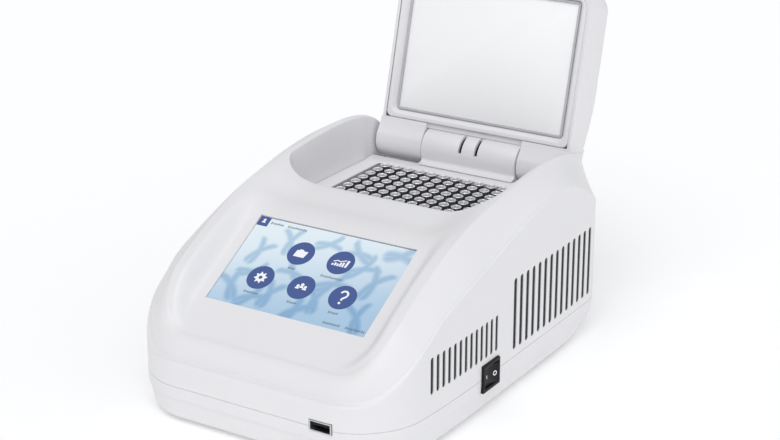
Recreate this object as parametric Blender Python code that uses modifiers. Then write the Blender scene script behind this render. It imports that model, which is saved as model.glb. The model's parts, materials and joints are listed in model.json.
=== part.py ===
"""Benchtop thermal cycler with a touch screen, a 96-well sample block and a hinged heated lid.

Lengths are in millimetres, in a frame whose zero is the centre of the well tops: x to the right,
y to the back, z up. The empty "thermal_cycler" carries that frame, so the finished model stands on
z = 0 with its origin under the middle of its box. MM turns millimetres into Blender's metres.
"""

import math

import bmesh
import bpy
from mathutils import Matrix, Vector

MM = 0.001
GAP = 0.3  # between pieces that touch

# Where the well tops are: above the bench, and behind the middle of the box.
WELL_TOP_HEIGHT = 97.0
WELL_CENTRE_BACK = 40.2

# Sample block
WELL_PITCH = 9.0
WELL_COLUMNS = 12
WELL_ROWS = 8
WELL_RADIUS = 3.2
WELL_DEPTH = 14.0
BLOCK_HALF_X = 56.5
BLOCK_HALF_Y = 38.5
BLOCK_HEIGHT = 20.0
BLOCK_HOLE_HALF_X = 59.0
BLOCK_HOLE_HALF_Y = 40.5

# Casing heights
SEAM_Z = -72.0  # parting line between hood and base
GROOVE_Z = -80.0
FLOOR_Z = -94.0  # underside of the base tray
BENCH_Z = -97.0
SHELL = 2.5

# Touch screen, on a plane that rises to the back
SCREEN_TILT = math.radians(29.8)
SCREEN_CENTRE = Vector((0, -130, -12.2))
SCREEN_HALF_X = 55.65
SCREEN_HALF_S = 33.6
RECESS_HALF_X = 62.5
RECESS_FRONT_Y = -183.5
RECESS_RADIUS = 25.0
PLATEAU_Z = 9.3  # level top between the screen and the opening
LIP_RISE = 3.6  # from there up to the opening's front edge
DECK_Z = -3.0  # plate round the block

# Lid, drawn closed round its hinge axis and then turned open
HINGE_Y = 67.0
HINGE_Z = 6.0
LID_OPEN = math.radians(104.7)
LID_LENGTH = 117.0  # hinge axis to far end
LID_HALF_X = 71.0
LID_FACE = -8.0  # the lid's inner face, below the hinge axis when closed
LID_TOP = 23.5
LID_FAR_RADIUS = 13.0
KNUCKLE_RADIUS = 11.5
KNUCKLE_IN_X = 36.5
KNUCKLE_OUT_X = 72.0
WINDOW_HALF_X = 63.2
WINDOW_NEAR = 20.9
WINDOW_FAR = 110.2
WINDOW_FAR_RADIUS = 3.0
WINDOW = (WINDOW_HALF_X, -WINDOW_FAR, -WINDOW_NEAR, WINDOW_FAR_RADIUS, 3.0)
PLATE_FACE = -4.0  # the heated plate's face, below the hinge axis when closed
SHAFT_RADIUS = 3.0
POCKET_FLOOR = -18.0  # of the hinge pocket, from the hinge axis

# Mains switch, sockets and fans
SWITCH_Y = -84.0
SWITCH_Z = -72.0
SWITCH_HALF_Y = 10.0
SWITCH_HALF_Z = 8.75
SWITCH_FACE_X = 98.2
ROCKER_AXIS_X = 94.8
ROCKER_TIP = math.radians(8)
USB_X = 51.0
USB_Y = -197.4
USB_Z = -71.0
INLET_X = -32.0
INLET_Y = 78.0
INLET_Z = -46.0
FAN_X = 41.0
FAN_Y = -4.0

# Feet and screws under the base, in plan: front left, front right, rear left, rear right
CORNER_NAMES = ("front_left", "front_right", "rear_left", "rear_right")
FEET = ((-70, -168), (70, -168), (-70, 16), (70, 16))
SCREWS = ((-84, -150), (84, -150), (-84, 2), (84, 2))

# Outlines in plan: half width, front y, back y, front corner radius, back corner radius
WALL = (96.6, -197.0, 78.0, 40.0, 30.0)
HOOD_FOOT = (95.4, -193.0, 77.2, 38.0, 29.0)
CREST = (79.5, RECESS_FRONT_Y, 74.5, 28.0, 6.0)
RIM = (76.2, -55.0, 72.0, 20.0, 2.5)
DECK = (72.8, -52.7, 70.0, 16.0, 2.0)
HINGE_BAY_HALF_X = 74.4  # the opening is this wide beside the lid's knuckles
NARROWING = 0.065  # share of the wall's width lost over the 100 mm in front of y = -95
BASE_RINGS = (
    (SEAM_Z - 0.15, WALL),
    (SEAM_Z - 2.5, WALL),
    (GROOVE_Z, (96.4, -196.8, 75.5, 40.0, 29.0)),
    (GROOVE_Z - 0.7, (95.5, -195.9, 74.5, 39.5, 29.0)),
    (-88.0, (94.3, -194.6, 64.0, 38.0, 31.0)),
    (FLOOR_Z, (91.1, -191.5, 40.0, 35.0, 30.0)),
)

# Heights along the side of the hood, as (y, z): the ridge beside the opening and the screen, and the
# styling ledge that climbs from the front to the back.
RIDGE = (
    (-197, -52), (-184, -43), (-175, -32), (-154, -13), (-101, 12), (-63, 21.5), (-7, 28),
    (30, 28.5), (55, 23.5), (66, 16), (73, 5), (80, -10),
)
LEDGE = (
    (-198, -56), (-190, -55.5), (-183, -52), (-176, -46), (-160, -33), (-149, -26), (-137, -18),
    (-113, -9.5), (-82, -1), (-55, 7), (-25, 14), (5, 17), (30, 12), (80, -18),
)

STEPS = {"front": 6, "corner": 6, "side": 9, "back": 4}


def clear_scene():
    for item in list(bpy.data.objects):
        bpy.data.objects.remove(item)


def make_collection(name, hidden=False):
    collection = bpy.data.collections.new(name)
    collection.hide_render = hidden
    bpy.context.scene.collection.children.link(collection)
    return collection


def make_empty(name, location, parent=None):
    empty = bpy.data.objects.new(name, None)
    empty.location = Vector(location) * MM
    empty.parent = parent
    PARTS.objects.link(empty)
    return empty


def make_material(name, colour, roughness, metallic=0.0):
    material = bpy.data.materials.new(name)
    material.use_nodes = True
    shader = material.node_tree.nodes["Principled BSDF"]
    shader.inputs["Base Color"].default_value = (*colour, 1)
    shader.inputs["Roughness"].default_value = roughness
    shader.inputs["Metallic"].default_value = metallic
    return material


# ---- meshes ----


def mesh_from(bm, name):
    """The bmesh, drawn in millimetres, as a mesh in metres."""
    bmesh.ops.scale(bm, vec=(MM, MM, MM), verts=bm.verts)
    mesh = bpy.data.meshes.new(name)
    bm.to_mesh(mesh)
    bm.free()
    return mesh


def add_box(bm, low, high, turn=None, about=(0, 0, 0)):
    """A box between two corners, turned by a matrix about a point if one is given."""
    low, high = Vector(low), Vector(high)
    verts = bmesh.ops.create_cube(bm, size=1)["verts"]
    bmesh.ops.scale(bm, vec=high - low, verts=verts)
    bmesh.ops.translate(bm, vec=(low + high) / 2, verts=verts)
    if turn:
        bmesh.ops.rotate(bm, cent=about, matrix=turn, verts=verts)


def add_cylinder(bm, centre, radius, length, axis="Z", sides=24, top_radius=None):
    turns = {
        "X": Matrix.Rotation(math.pi / 2, 3, "Y"),
        "Y": Matrix.Rotation(-math.pi / 2, 3, "X"),
        "Z": Matrix.Identity(3),
    }
    verts = bmesh.ops.create_cone(
        bm,
        cap_ends=True,
        segments=sides,
        radius1=radius,
        radius2=radius if top_radius is None else top_radius,
        depth=length,
    )["verts"]
    bmesh.ops.rotate(bm, cent=(0, 0, 0), matrix=turns[axis], verts=verts)
    bmesh.ops.translate(bm, vec=centre, verts=verts)


def add_prism(bm, outline, low_x, high_x):
    """A (y, z) outline, anticlockwise seen from +x, drawn out along x."""
    near = [bm.verts.new((low_x, y, z)) for y, z in outline]
    face = bm.faces.new(list(reversed(near)))
    moved = bmesh.ops.extrude_face_region(bm, geom=[face])["geom"]
    verts = [item for item in moved if isinstance(item, bmesh.types.BMVert)]
    bmesh.ops.translate(bm, vec=(high_x - low_x, 0, 0), verts=verts)
    bmesh.ops.recalc_face_normals(bm, faces=bm.faces)


def add_loft(bm, rings, cap_first=False, cap_last=False):
    """Skin over rings with equal numbers of points, each anticlockwise seen from above."""
    rows = [[bm.verts.new(point) for point in ring] for ring in rings]
    for low, high in zip(rows, rows[1:]):
        for i in range(len(low)):
            j = (i + 1) % len(low)
            bm.faces.new((low[i], low[j], high[j], high[i]))
    if cap_first:
        bm.faces.new(list(reversed(rows[0])))
    if cap_last:
        bm.faces.new(rows[-1])
    bmesh.ops.triangulate(bm, faces=bm.faces)


def place(name, mesh, material, parent, location=(0, 0, 0), smooth=False):
    """The mesh as one of the model's parts."""
    item = bpy.data.objects.new(name, mesh)
    item.parent = parent
    item.location = Vector(location) * MM
    if material.name not in mesh.materials:
        mesh.materials.append(material)
    if smooth:
        mesh.shade_smooth()
        mesh.set_sharp_from_angle(angle=math.radians(35))
    PARTS.objects.link(item)
    return item


def boxes(name, material, parent, *corners, location=(0, 0, 0)):
    """A part made of one box."""
    bm = bmesh.new()
    for low, high in corners:
        add_box(bm, low, high)
    return place(name, mesh_from(bm, name), material, parent, location)


def cut(item, bm, name, operation="DIFFERENCE"):
    """Takes the bmesh's shapes away from the part, or joins them to it."""
    cutter = bpy.data.objects.new(name, mesh_from(bm, name))
    cutter.parent = item.parent
    cutter.location = item.location
    cutter.hide_render = True
    cutter.display_type = "WIRE"
    CUTTERS.objects.link(cutter)
    modifier = item.modifiers.new(name, "BOOLEAN")
    modifier.operation = operation
    modifier.object = cutter
    return cutter


def thicken(item, thickness):
    """Gives an open skin its wall, on the inner side."""
    modifier = item.modifiers.new("wall", "SOLIDIFY")
    modifier.thickness = thickness * MM
    modifier.offset = -1


# ---- shape rules ----


def smooth(value, low, high):
    t = min(max((value - low) / (high - low), 0), 1)
    return t * t * (3 - 2 * t)


def mix(a, b, t):
    return a + (b - a) * t


def along(knots, y):
    """Smooth curve through (y, z) knots: a cubic between neighbours, with Catmull-Rom slopes."""
    y = min(max(y, knots[0][0]), knots[-1][0])
    i = max(k for k in range(len(knots) - 1) if knots[k][0] <= y)
    (y1, z1), (y2, z2) = knots[i], knots[i + 1]
    y0, z0 = knots[max(i - 1, 0)]
    y3, z3 = knots[min(i + 2, len(knots) - 1)]
    t = (y - y1) / (y2 - y1)
    slope_1 = (z2 - z0) / (y2 - y0) * (y2 - y1)
    slope_2 = (z3 - z1) / (y3 - y1) * (y2 - y1)
    return (
        z1 * (2 * t**3 - 3 * t**2 + 1)
        + slope_1 * (t**3 - 2 * t**2 + t)
        + z2 * (3 * t**2 - 2 * t**3)
        + slope_2 * (t**3 - t**2)
    )


def soft_min(a, b, reach):
    share = min(max(0.5 + 0.5 * (b - a) / reach, 0), 1)
    return mix(b, a, share) - reach * share * (1 - share)


def screen_plane(y):
    return SCREEN_CENTRE.z + (y - SCREEN_CENTRE.y) * math.tan(SCREEN_TILT)


def outside_recess(x, y):
    """Distance in plan out of the screen's recess, whose front corners are round."""
    dx = abs(x) - (RECESS_HALF_X - RECESS_RADIUS)
    dy = (RECESS_FRONT_Y + RECESS_RADIUS) - y
    if dx > 0 and dy > 0:
        return math.hypot(dx, dy) - RECESS_RADIUS
    return max(dx, dy) - RECESS_RADIUS


def hood_top(x, y):
    """Height of the hood's upper surface."""
    middle = soft_min(screen_plane(y), PLATEAU_Z, 6) + LIP_RISE * smooth(y, -80, -56)
    ridge = along(RIDGE, y)
    beside_screen = smooth(outside_recess(x, y), 0, 11)
    beside_opening = smooth(abs(x), 40, 80) ** 1.6
    rise = mix(beside_screen, beside_opening, smooth(y, -114, -84))
    front_and_sides = mix(middle, ridge, rise)
    hinge_gap = smooth(y, 68, 71) * (1 - smooth(abs(x), 74.2, 75.6))
    return mix(front_and_sides, -8, hinge_gap)


def outline(shape, steps=STEPS, narrowing=0.0):
    """Points of a rounded rectangle in plan, anticlockwise from the left end of its front."""
    half, front, back, front_radius, back_radius = shape
    corners = (
        (half - front_radius, front + front_radius, front_radius, -90, "side"),
        (half - back_radius, back - back_radius, back_radius, 0, "back"),
        (back_radius - half, back - back_radius, back_radius, 90, "side"),
        (front_radius - half, front + front_radius, front_radius, 180, "front"),
    )
    points = []
    for index, (cx, cy, radius, start, following) in enumerate(corners):
        for k in range(steps["corner"]):
            angle = math.radians(start + 90 * k / steps["corner"])
            points.append((cx + radius * math.cos(angle), cy + radius * math.sin(angle)))
        angle = math.radians(start + 90)
        here = Vector((cx + radius * math.cos(angle), cy + radius * math.sin(angle)))
        nx, ny, next_radius, next_start, _ = corners[(index + 1) % 4]
        angle = math.radians(next_start)
        there = Vector((nx + next_radius * math.cos(angle), ny + next_radius * math.sin(angle)))
        for k in range(steps[following]):
            points.append(tuple(here.lerp(there, k / steps[following])))
    return [(x * back_taper(y) * (1 - narrowing * max(0, (-95 - y) / 100) ** 2), y) for x, y in points]


def back_taper(y):
    """The casing narrows a little towards the back."""
    return 1 - 0.02 * max(0, (y + 20) / 100) ** 2


def deck_outline(inset=0.0):
    """The opening at deck level, wider in the hinge bay."""
    half, front, back, front_radius, back_radius = DECK
    shape = (half - inset, front + inset, back - inset, front_radius, back_radius)
    spread = HINGE_BAY_HALF_X / half - 1
    return [(x * (1 + spread * smooth(y, 40, 49)), y) for x, y in outline(shape)]


def blend(shape_a, shape_b, t):
    return tuple(mix(a, b, t) for a, b in zip(shape_a, shape_b))


def hood_rings():
    """The hood's outer skin from its seam over the ledge, shoulder and top, then down to the deck."""
    rings = [[(x, y, SEAM_Z + 0.15) for x, y in outline(WALL, narrowing=NARROWING)]]
    for share, lift in ((0, -1.0), (0.35, 0), (1, 0.6)):
        ring = outline(blend(WALL, HOOD_FOOT, share), narrowing=NARROWING)
        rings.append([(x, y, along(LEDGE, y) + lift) for x, y in ring])
    crest = [(x, y, hood_top(x, y)) for x, y in outline(CREST)]
    for angle in (22, 42, 62):
        turn = math.radians(angle)
        share = 1 - math.cos(turn) ** 1.6
        ring = outline(blend(HOOD_FOOT, CREST, share), narrowing=NARROWING * (1 - share))
        rings.append([
            (x, y, mix(along(LEDGE, y) + 0.6, top[2], math.sin(turn) ** 1.6))
            for (x, y), top in zip(ring, crest)
        ])
    rings.append(crest)
    for share in (0.08, 0.2, 0.42, 0.64, 0.75, 0.88, 1):
        ring = outline(blend(CREST, RIM, share))
        rings.append([(x, y, hood_top(x, y)) for x, y in ring])
    rim, deck = rings[-1], deck_outline()
    for share, drop in ((0.15, 1.0), (1, 40)):
        rings.append([
            (mix(x, u, share), mix(y, v, share), max(z - drop, min(0, z - 1.6)))
            for (x, y, z), (u, v) in zip(rim, deck)
        ])
    rings.append([(x, y, -14) for x, y in deck])
    return rings


def screen_box(bm, half_x, half_s, low, high):
    """A box lying along the screen's plane, from one height above it to another."""
    c = SCREEN_CENTRE
    tilt = Matrix.Rotation(SCREEN_TILT, 3, "X")
    add_box(
        bm,
        (-half_x, c.y - half_s, c.z + low),
        (half_x, c.y + half_s, c.z + high),
        turn=tilt,
        about=c,
    )


# ---- casing ----


def vent_slots(bm):
    """Two groups of upright slots in each side wall."""
    groups = ((14, -58.0, 43.0, -67.0, -20.5, 3.9), (13, -155.0, -79.0, -57.0, -36.5, 3.1))
    for count, first, last, low, high, width in groups:
        for k in range(count):
            y = mix(first, last, k / (count - 1))
            for side in (-1, 1):
                inner, outer = sorted((side * 86, side * 102))
                add_box(bm, (inner, y - width / 2, low), (outer, y + width / 2, high))


def upper_housing():
    bm = bmesh.new()
    add_loft(bm, hood_rings())
    housing = place("upper_housing", mesh_from(bm, "upper_housing"), WHITE, ROOT, smooth=True)
    thicken(housing, SHELL)
    bm = bmesh.new()
    screen_box(bm, SCREEN_HALF_X + GAP, SCREEN_HALF_S + GAP, -8, 8)
    vent_slots(bm)
    wall_openings(bm)
    cut(housing, bm, "housing_cutter")


def wall_openings(bm):
    """Holes for the switch, the USB socket and the mains inlet, shared by hood and base."""
    add_box(
        bm,
        (80, SWITCH_Y - SWITCH_HALF_Y - GAP, SWITCH_Z - SWITCH_HALF_Z - GAP),
        (105, SWITCH_Y + SWITCH_HALF_Y + GAP, SWITCH_Z + SWITCH_HALF_Z + GAP),
    )
    add_box(bm, (USB_X - 7.8, -205, USB_Z - 3.6), (USB_X + 7.8, -185, USB_Z + 3.6))
    add_box(bm, (INLET_X - 14, 60, INLET_Z - 10.5), (INLET_X + 14, 90, INLET_Z + 10.5))


def base_tray():
    rings = [[(x, y, z) for x, y in outline(shape, narrowing=NARROWING)] for z, shape in reversed(BASE_RINGS)]
    bm = bmesh.new()
    add_loft(bm, rings, cap_first=True)
    tray = place("base_tray", mesh_from(bm, "base_tray"), WHITE, ROOT, smooth=True)
    thicken(tray, SHELL)
    bm = bmesh.new()
    wall_openings(bm)
    for side in (-1, 1):
        for k in range(6):
            y = FAN_Y - 30 + 12 * k
            reach = math.sqrt(36**2 - (y - FAN_Y) ** 2)
            add_box(bm, (side * FAN_X - reach, y - 2, -100), (side * FAN_X + reach, y + 2, -85))
    for x, y in SCREWS:
        add_cylinder(bm, (x, y, -94), 2.2, 12, sides=12)
    cut(tray, bm, "tray_cutter")


def feet_and_screws():
    for name, (x, y) in zip(CORNER_NAMES, FEET):
        bm = bmesh.new()
        height = FLOOR_Z - GAP - BENCH_Z
        add_cylinder(bm, (0, 0, 0), 7.2, height, top_radius=8.5)
        mesh = mesh_from(bm, "foot_" + name)
        place("foot_" + name, mesh, RUBBER, ROOT, (x, y, BENCH_Z + height / 2), smooth=True)
    for name, (x, y) in zip(CORNER_NAMES, SCREWS):
        bm = bmesh.new()
        add_cylinder(bm, (0, 0, -95.2), 3.8, 1.8, sides=16)
        add_cylinder(bm, (0, 0, -88), 1.8, 14, sides=12)
        mesh = mesh_from(bm, "base_screw_" + name)
        screw = place("base_screw_" + name, mesh, STEEL, ROOT, (x, y, 0), smooth=True)
        join_self(screw)


def join_self(item):
    """Makes one body of the overlapping shapes in a part."""
    bm = bmesh.new()
    bm.from_mesh(item.data)
    shells = loose_shells(bm)
    base = keep_faces(item.data, shells[0])
    for number, shell in enumerate(shells[1:]):
        extra = keep_faces(item.data, shell)
        bmesh.ops.scale(extra, vec=(1 / MM,) * 3, verts=extra.verts)
        cut(item, extra, f"{item.name}_join_{number}", "UNION")
    base.to_mesh(item.data)
    base.free()
    bm.free()


def loose_shells(bm):
    """Face indices of each connected shape."""
    bm.faces.ensure_lookup_table()
    left = set(range(len(bm.faces)))
    shells = []
    while left:
        queue = [left.pop()]
        shell = set(queue)
        while queue:
            for edge in bm.faces[queue.pop()].edges:
                found = {face.index for face in edge.link_faces} & left
                left -= found
                shell |= found
                queue += found
        shells.append(shell)
    return sorted(shells, key=min)


def keep_faces(mesh, indices):
    bm = bmesh.new()
    bm.from_mesh(mesh)
    bm.faces.ensure_lookup_table()
    others = [face for face in bm.faces if face.index not in indices]
    bmesh.ops.delete(bm, geom=others, context="FACES")
    return bm


# ---- sample block and cooling ----


def block_surround():
    """Deck plate round the block. Behind the block it drops to a pocket for the hinge."""
    profile = (
        (-60, DECK_Z), (-60, DECK_Z - 3), (51.5, DECK_Z - 3), (51.5, -14), (76, -14), (76, -12),
        (53.5, -12), (53.5, DECK_Z),
    )
    bm = bmesh.new()
    add_prism(bm, profile, -80, 80)
    mesh = mesh_from(bm, "block_surround")
    surround = place("block_surround", mesh, WHITE, ROOT, smooth=True)
    ring = deck_outline(inset=0.4)
    bm = bmesh.new()
    add_loft(
        bm,
        [[(x, y, z) for x, y in ring] for z in (-20, 5)],
        cap_first=True,
        cap_last=True,
    )
    cut(surround, bm, "surround_outline", "INTERSECT")
    bm = bmesh.new()
    add_box(
        bm,
        (-BLOCK_HOLE_HALF_X, -BLOCK_HOLE_HALF_Y, -10),
        (BLOCK_HOLE_HALF_X, BLOCK_HOLE_HALF_Y, 10),
    )
    cut(surround, bm, "surround_hole")


def well_places():
    for column in range(WELL_COLUMNS):
        for row in range(WELL_ROWS):
            x = (column - (WELL_COLUMNS - 1) / 2) * WELL_PITCH
            y = (row - (WELL_ROWS - 1) / 2) * WELL_PITCH
            yield x, y


def sample_block():
    block = boxes(
        "sample_block",
        ALUMINIUM,
        ROOT,
        ((-BLOCK_HALF_X, -BLOCK_HALF_Y, -BLOCK_HEIGHT), (BLOCK_HALF_X, BLOCK_HALF_Y, 0)),
    )
    bm = bmesh.new()
    for x, y in well_places():
        add_cylinder(bm, (x, y, 2 - WELL_DEPTH / 2), WELL_RADIUS, WELL_DEPTH + 4, sides=8)
    cut(block, bm, "well_cutter")


def cooling():
    side = 36.0
    top = -BLOCK_HEIGHT - GAP
    for column in range(3):
        for row in range(2):
            x = (column - 1) * 37.0
            y = (row - 0.5) * 37.0
            boxes(
                f"peltier_module_{1 + column + 3 * row}",
                CERAMIC,
                ROOT,
                ((-side / 2, -side / 2, -3.8), (side / 2, side / 2, 0)),
                location=(x, y, top),
            )
    heatsink(top - 3.8 - GAP)
    for name, x in (("left", -FAN_X), ("right", FAN_X)):
        fan(name, x)


def heatsink(top):
    """Base plate with fins that run across, so that air leaves by the side vents."""
    fins, pitch, thick, reach = 20, 4.9, 1.4, 39.5
    first = -(fins - 1) / 2 * pitch
    profile = [(first + (fins - 1) * pitch + thick / 2, top), (first - thick / 2, top)]
    for k in range(fins):
        y = first + k * pitch
        profile += [(y - thick / 2, top - 5), (y - thick / 2, top - reach)]
        profile += [(y + thick / 2, top - reach), (y + thick / 2, top - 5)]
    profile.remove((first - thick / 2, top - 5))
    profile.pop()
    bm = bmesh.new()
    add_prism(bm, profile, -78, 78)
    place("heatsink", mesh_from(bm, "heatsink"), ALUMINIUM, ROOT, (0, FAN_Y + 0.5, 0))


def fan(name, x):
    """A frame with its motor on three arms, and a seven-bladed rotor above the motor."""
    low, high, half = -90.8, -75.8, 38.0
    frame = boxes(
        f"fan_frame_{name}",
        BLACK,
        ROOT,
        ((-half, -half, low), (half, half, high)),
        location=(x, FAN_Y, 0),
    )
    bm = bmesh.new()
    add_cylinder(bm, (0, 0, (low + high) / 2), 36.5, 40, sides=32)
    cut(frame, bm, f"fan_hole_{name}")
    bm = bmesh.new()
    add_cylinder(bm, (0, 0, low + 1.25), 13.5, 2.5, sides=24)
    cut(frame, bm, f"fan_motor_{name}", "UNION")
    for k in range(3):
        bm = bmesh.new()
        turn = Matrix.Rotation(math.radians(90 + 120 * k), 3, "Z")
        add_box(bm, (10, -2, low + 0.2), (37.2, 2, low + 2.2), turn=turn)
        cut(frame, bm, f"fan_arm_{name}_{k}", "UNION")
    bm = bmesh.new()
    add_cylinder(bm, (0, 0, 0), 14, 10.5, sides=24)
    place_at = (x, FAN_Y, high - 0.8 - 5.25)
    rotor = place(f"fan_rotor_{name}", mesh_from(bm, "rotor"), BLACK, ROOT, place_at, smooth=True)
    for k in range(7):
        bm = bmesh.new()
        add_box(bm, (12, -8.5, -0.6), (34.5, 8.5, 0.6), Matrix.Rotation(math.radians(26), 3, "X"))
        turn = Matrix.Rotation(math.tau * k / 7, 3, "Z")
        bmesh.ops.rotate(bm, cent=(0, 0, 0), matrix=turn, verts=bm.verts)
        cut(rotor, bm, f"fan_blade_{name}_{k}", "UNION")


# ---- screen, electronics, sockets ----


def screen():
    layers = (
        ("display_glass", GLASS, SCREEN_HALF_X, SCREEN_HALF_S, -2.8, -0.6),
        ("lcd_module", BLACK, SCREEN_HALF_X + 2, SCREEN_HALF_S + 0.8, -8.4, -3.9),
        ("display_bracket", STEEL, SCREEN_HALF_X + 4, SCREEN_HALF_S + 3, -10.3, -8.7),
        ("display_board", BOARD, SCREEN_HALF_X - 8, SCREEN_HALF_S - 6, -12.2, -10.6),
    )
    for name, material, half_x, half_s, low, high in layers:
        bm = bmesh.new()
        screen_box(bm, half_x, half_s, low, high)
        place(name, mesh_from(bm, name), material, ROOT)


def electronics():
    boxes("main_board", BOARD, ROOT, ((4, -174, -88.5), (76, -62, -86.9)))
    boxes("power_supply", STEEL, ROOT, ((-79, -158, -90.8), (-5, -62, -60)))


def usb_socket():
    mouth = (USB_X, USB_Y, USB_Z)
    shell = boxes("usb_socket", STEEL, ROOT, ((-7.4, 0, -3.3), (7.4, 15, 3.3)), location=mouth)
    bm = bmesh.new()
    add_box(bm, (-6.7, -1, -2.6), (6.7, 14, 2.6))
    cut(shell, bm, "usb_cavity")
    boxes("usb_tongue", BLACK, ROOT, ((-5.8, 1.2, 0.2), (5.8, 13.6, 2.0)), location=mouth)


def rocker_switch():
    frame = boxes(
        "switch_frame",
        BLACK,
        ROOT,
        ((76, -SWITCH_HALF_Y, -SWITCH_HALF_Z), (SWITCH_FACE_X, SWITCH_HALF_Y, SWITCH_HALF_Z)),
        location=(0, SWITCH_Y, SWITCH_Z),
    )
    bm = bmesh.new()
    add_box(bm, (84, -8.3, -6.6), (110, 8.3, 6.6))
    cut(frame, bm, "switch_cavity")
    # Top view of the rocker: a shallow V, drawn level and then tipped so that its rear end is proud.
    profile = (
        (-7.6, 4.0), (-3.8, 2.6), (0, 2.1), (3.8, 2.6), (7.6, 4.0), (7.4, 0), (4, -4), (-4, -4),
        (-7.4, 0),
    )
    bm = bmesh.new()
    add_prism(bm, [(y, x) for y, x in profile], -6.2, 6.2)
    upright = Matrix(((0, 0, 1), (0, 1, 0), (1, 0, 0))).to_4x4()
    bmesh.ops.transform(bm, matrix=upright, verts=bm.verts)
    tip = Matrix.Rotation(-ROCKER_TIP, 3, "Z")
    bmesh.ops.rotate(bm, cent=(0, 0, 0), matrix=tip, verts=bm.verts)
    bmesh.ops.recalc_face_normals(bm, faces=bm.faces)
    axis = (ROCKER_AXIS_X, SWITCH_Y, SWITCH_Z)
    place("switch_rocker", mesh_from(bm, "switch_rocker"), BLACK, ROOT, axis)


def mains_inlet():
    """Three-pin appliance inlet in the back wall."""
    inlet = boxes(
        "mains_inlet",
        BLACK,
        ROOT,
        ((-13.6, -24, -10.1), (13.6, 1, 10.1)),
        location=(INLET_X, INLET_Y, INLET_Z),
    )
    bm = bmesh.new()
    add_box(bm, (-16.5, 0.4, -12.5), (16.5, 2.6, 12.5))
    cut(inlet, bm, "inlet_flange", "UNION")
    bm = bmesh.new()
    add_box(bm, (-12, -14, -8.2), (12, 5, 8.2))
    cut(inlet, bm, "inlet_cavity")
    for name, x, z in (("line", -7, -2), ("earth", 0, 2.5), ("neutral", 7, -2)):
        boxes(
            f"inlet_pin_{name}",
            BRASS,
            ROOT,
            ((-1, -13.7, -2), (1, -3.5, 2)),
            location=(INLET_X + x, INLET_Y, INLET_Z + z),
        )


# ---- hinge ----


def arc(radius, start, end, count):
    """Points about the hinge axis, in degrees from the back (+y) towards up (+z)."""
    for k in range(count + 1):
        angle = math.radians(mix(start, end, k / count))
        yield radius * math.cos(angle), radius * math.sin(angle)


def hinge_cover():
    """Fixed cover over the middle of the hinge, flared over the deck, with two slots in its crown."""
    half, radius, wall = 35.5, 12.7, 2.5
    foot = POCKET_FLOOR + GAP
    outer = list(arc(radius, 0, 205, 14))
    outer += [(-11.9, -6.6), (-13.2, -7.5), (-16.5, -8.0), (-16.5, -8.6), (-12.3, -8.6)]
    outer += [(-12.3, foot), (3.0, foot), (3.0, -13.4), (radius, -13.4)]
    bm = bmesh.new()
    add_prism(bm, outer, -half, half)
    mesh = mesh_from(bm, "hinge_cover")
    cover = place("hinge_cover", mesh, WHITE, ROOT, (0, HINGE_Y, HINGE_Z), smooth=True)
    inner = list(arc(radius - wall, 0, 180, 10))
    inner += [(wall - radius, -25), (radius - wall, -25)]
    bm = bmesh.new()
    add_prism(bm, inner, wall - half, half - wall)
    cut(cover, bm, "cover_cavity")
    bm = bmesh.new()
    add_cylinder(bm, (0, 0, 0), SHAFT_RADIUS + GAP, 90, axis="X")
    cut(cover, bm, "cover_shaft_hole")
    bm = bmesh.new()
    for x in (-6, 6):
        add_box(bm, (x - 1.2, -16, 3.5), (x + 1.2, -1.5, 20))
    cut(cover, bm, "cover_slots")


def hinge_hardware():
    bm = bmesh.new()
    add_cylinder(bm, (0, 0, 0), SHAFT_RADIUS, 2 * KNUCKLE_OUT_X - 4, axis="X")
    mesh = mesh_from(bm, "hinge_shaft")
    place("hinge_shaft", mesh, STEEL, ROOT, (0, HINGE_Y, HINGE_Z), smooth=True)
    foot = POCKET_FLOOR + GAP
    profile = ((-6, foot), (2.4, foot), (2.4, -12.8), (6, -11), (6, 7), (-6, 7))
    for name, x in (("left", -27), ("right", 27)):
        bm = bmesh.new()
        add_prism(bm, profile, -1.5, 1.5)
        name = "hinge_bracket_" + name
        bracket = place(name, mesh_from(bm, name), STEEL, ROOT, (x, HINGE_Y, HINGE_Z))
        bm = bmesh.new()
        add_cylinder(bm, (0, 0, 0), SHAFT_RADIUS + GAP, 10, axis="X", sides=20)
        cut(bracket, bm, name + "_hole")
    for name, side in (("left", -1), ("right", 1)):
        hinge_spring(name, side)


def hinge_spring(name, side):
    """Torsion spring round the shaft; its leg points up inside the cover's slot."""
    turns, radius, wire = 6, 5.4, 0.7
    count = turns * 12
    points = []
    for k in range(count + 1):
        angle = math.tau * turns * k / count + math.pi / 2
        x = side * (6 + 14 * k / count)
        points.append((x, radius * math.cos(angle), radius * math.sin(angle)))
    points.insert(0, (side * 6, -6.8, 5.6))
    curve = bpy.data.curves.new(f"hinge_spring_{name}", "CURVE")
    curve.dimensions = "3D"
    curve.bevel_depth = wire * MM
    curve.bevel_resolution = 0
    curve.use_fill_caps = True
    spline = curve.splines.new("POLY")
    spline.points.add(len(points) - 1)
    for point, place_mm in zip(spline.points, points):
        point.co = (*(Vector(place_mm) * MM), 1)
    curve.materials.append(STEEL)
    item = bpy.data.objects.new(f"hinge_spring_{name}", curve)
    item.parent = ROOT
    item.location = Vector((0, HINGE_Y, HINGE_Z)) * MM
    PARTS.objects.link(item)


# ---- lid, drawn closed about the hinge axis ----


def lid_shape(inset=0.0, near=-1.0):
    """The lid's plan outline, its front at the far end."""
    return (LID_HALF_X - inset, -LID_LENGTH + inset, near, max(LID_FAR_RADIUS - inset, 3), 3)


def lid_crown(y):
    """Height of the lid's back above the hinge axis, from the hinge to the far end."""
    far = -y / LID_LENGTH
    return mix(11.3, LID_TOP, smooth(far, -0.05, 0.42)) - 0.8 * smooth(far, 0.6, 1.05)


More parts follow.
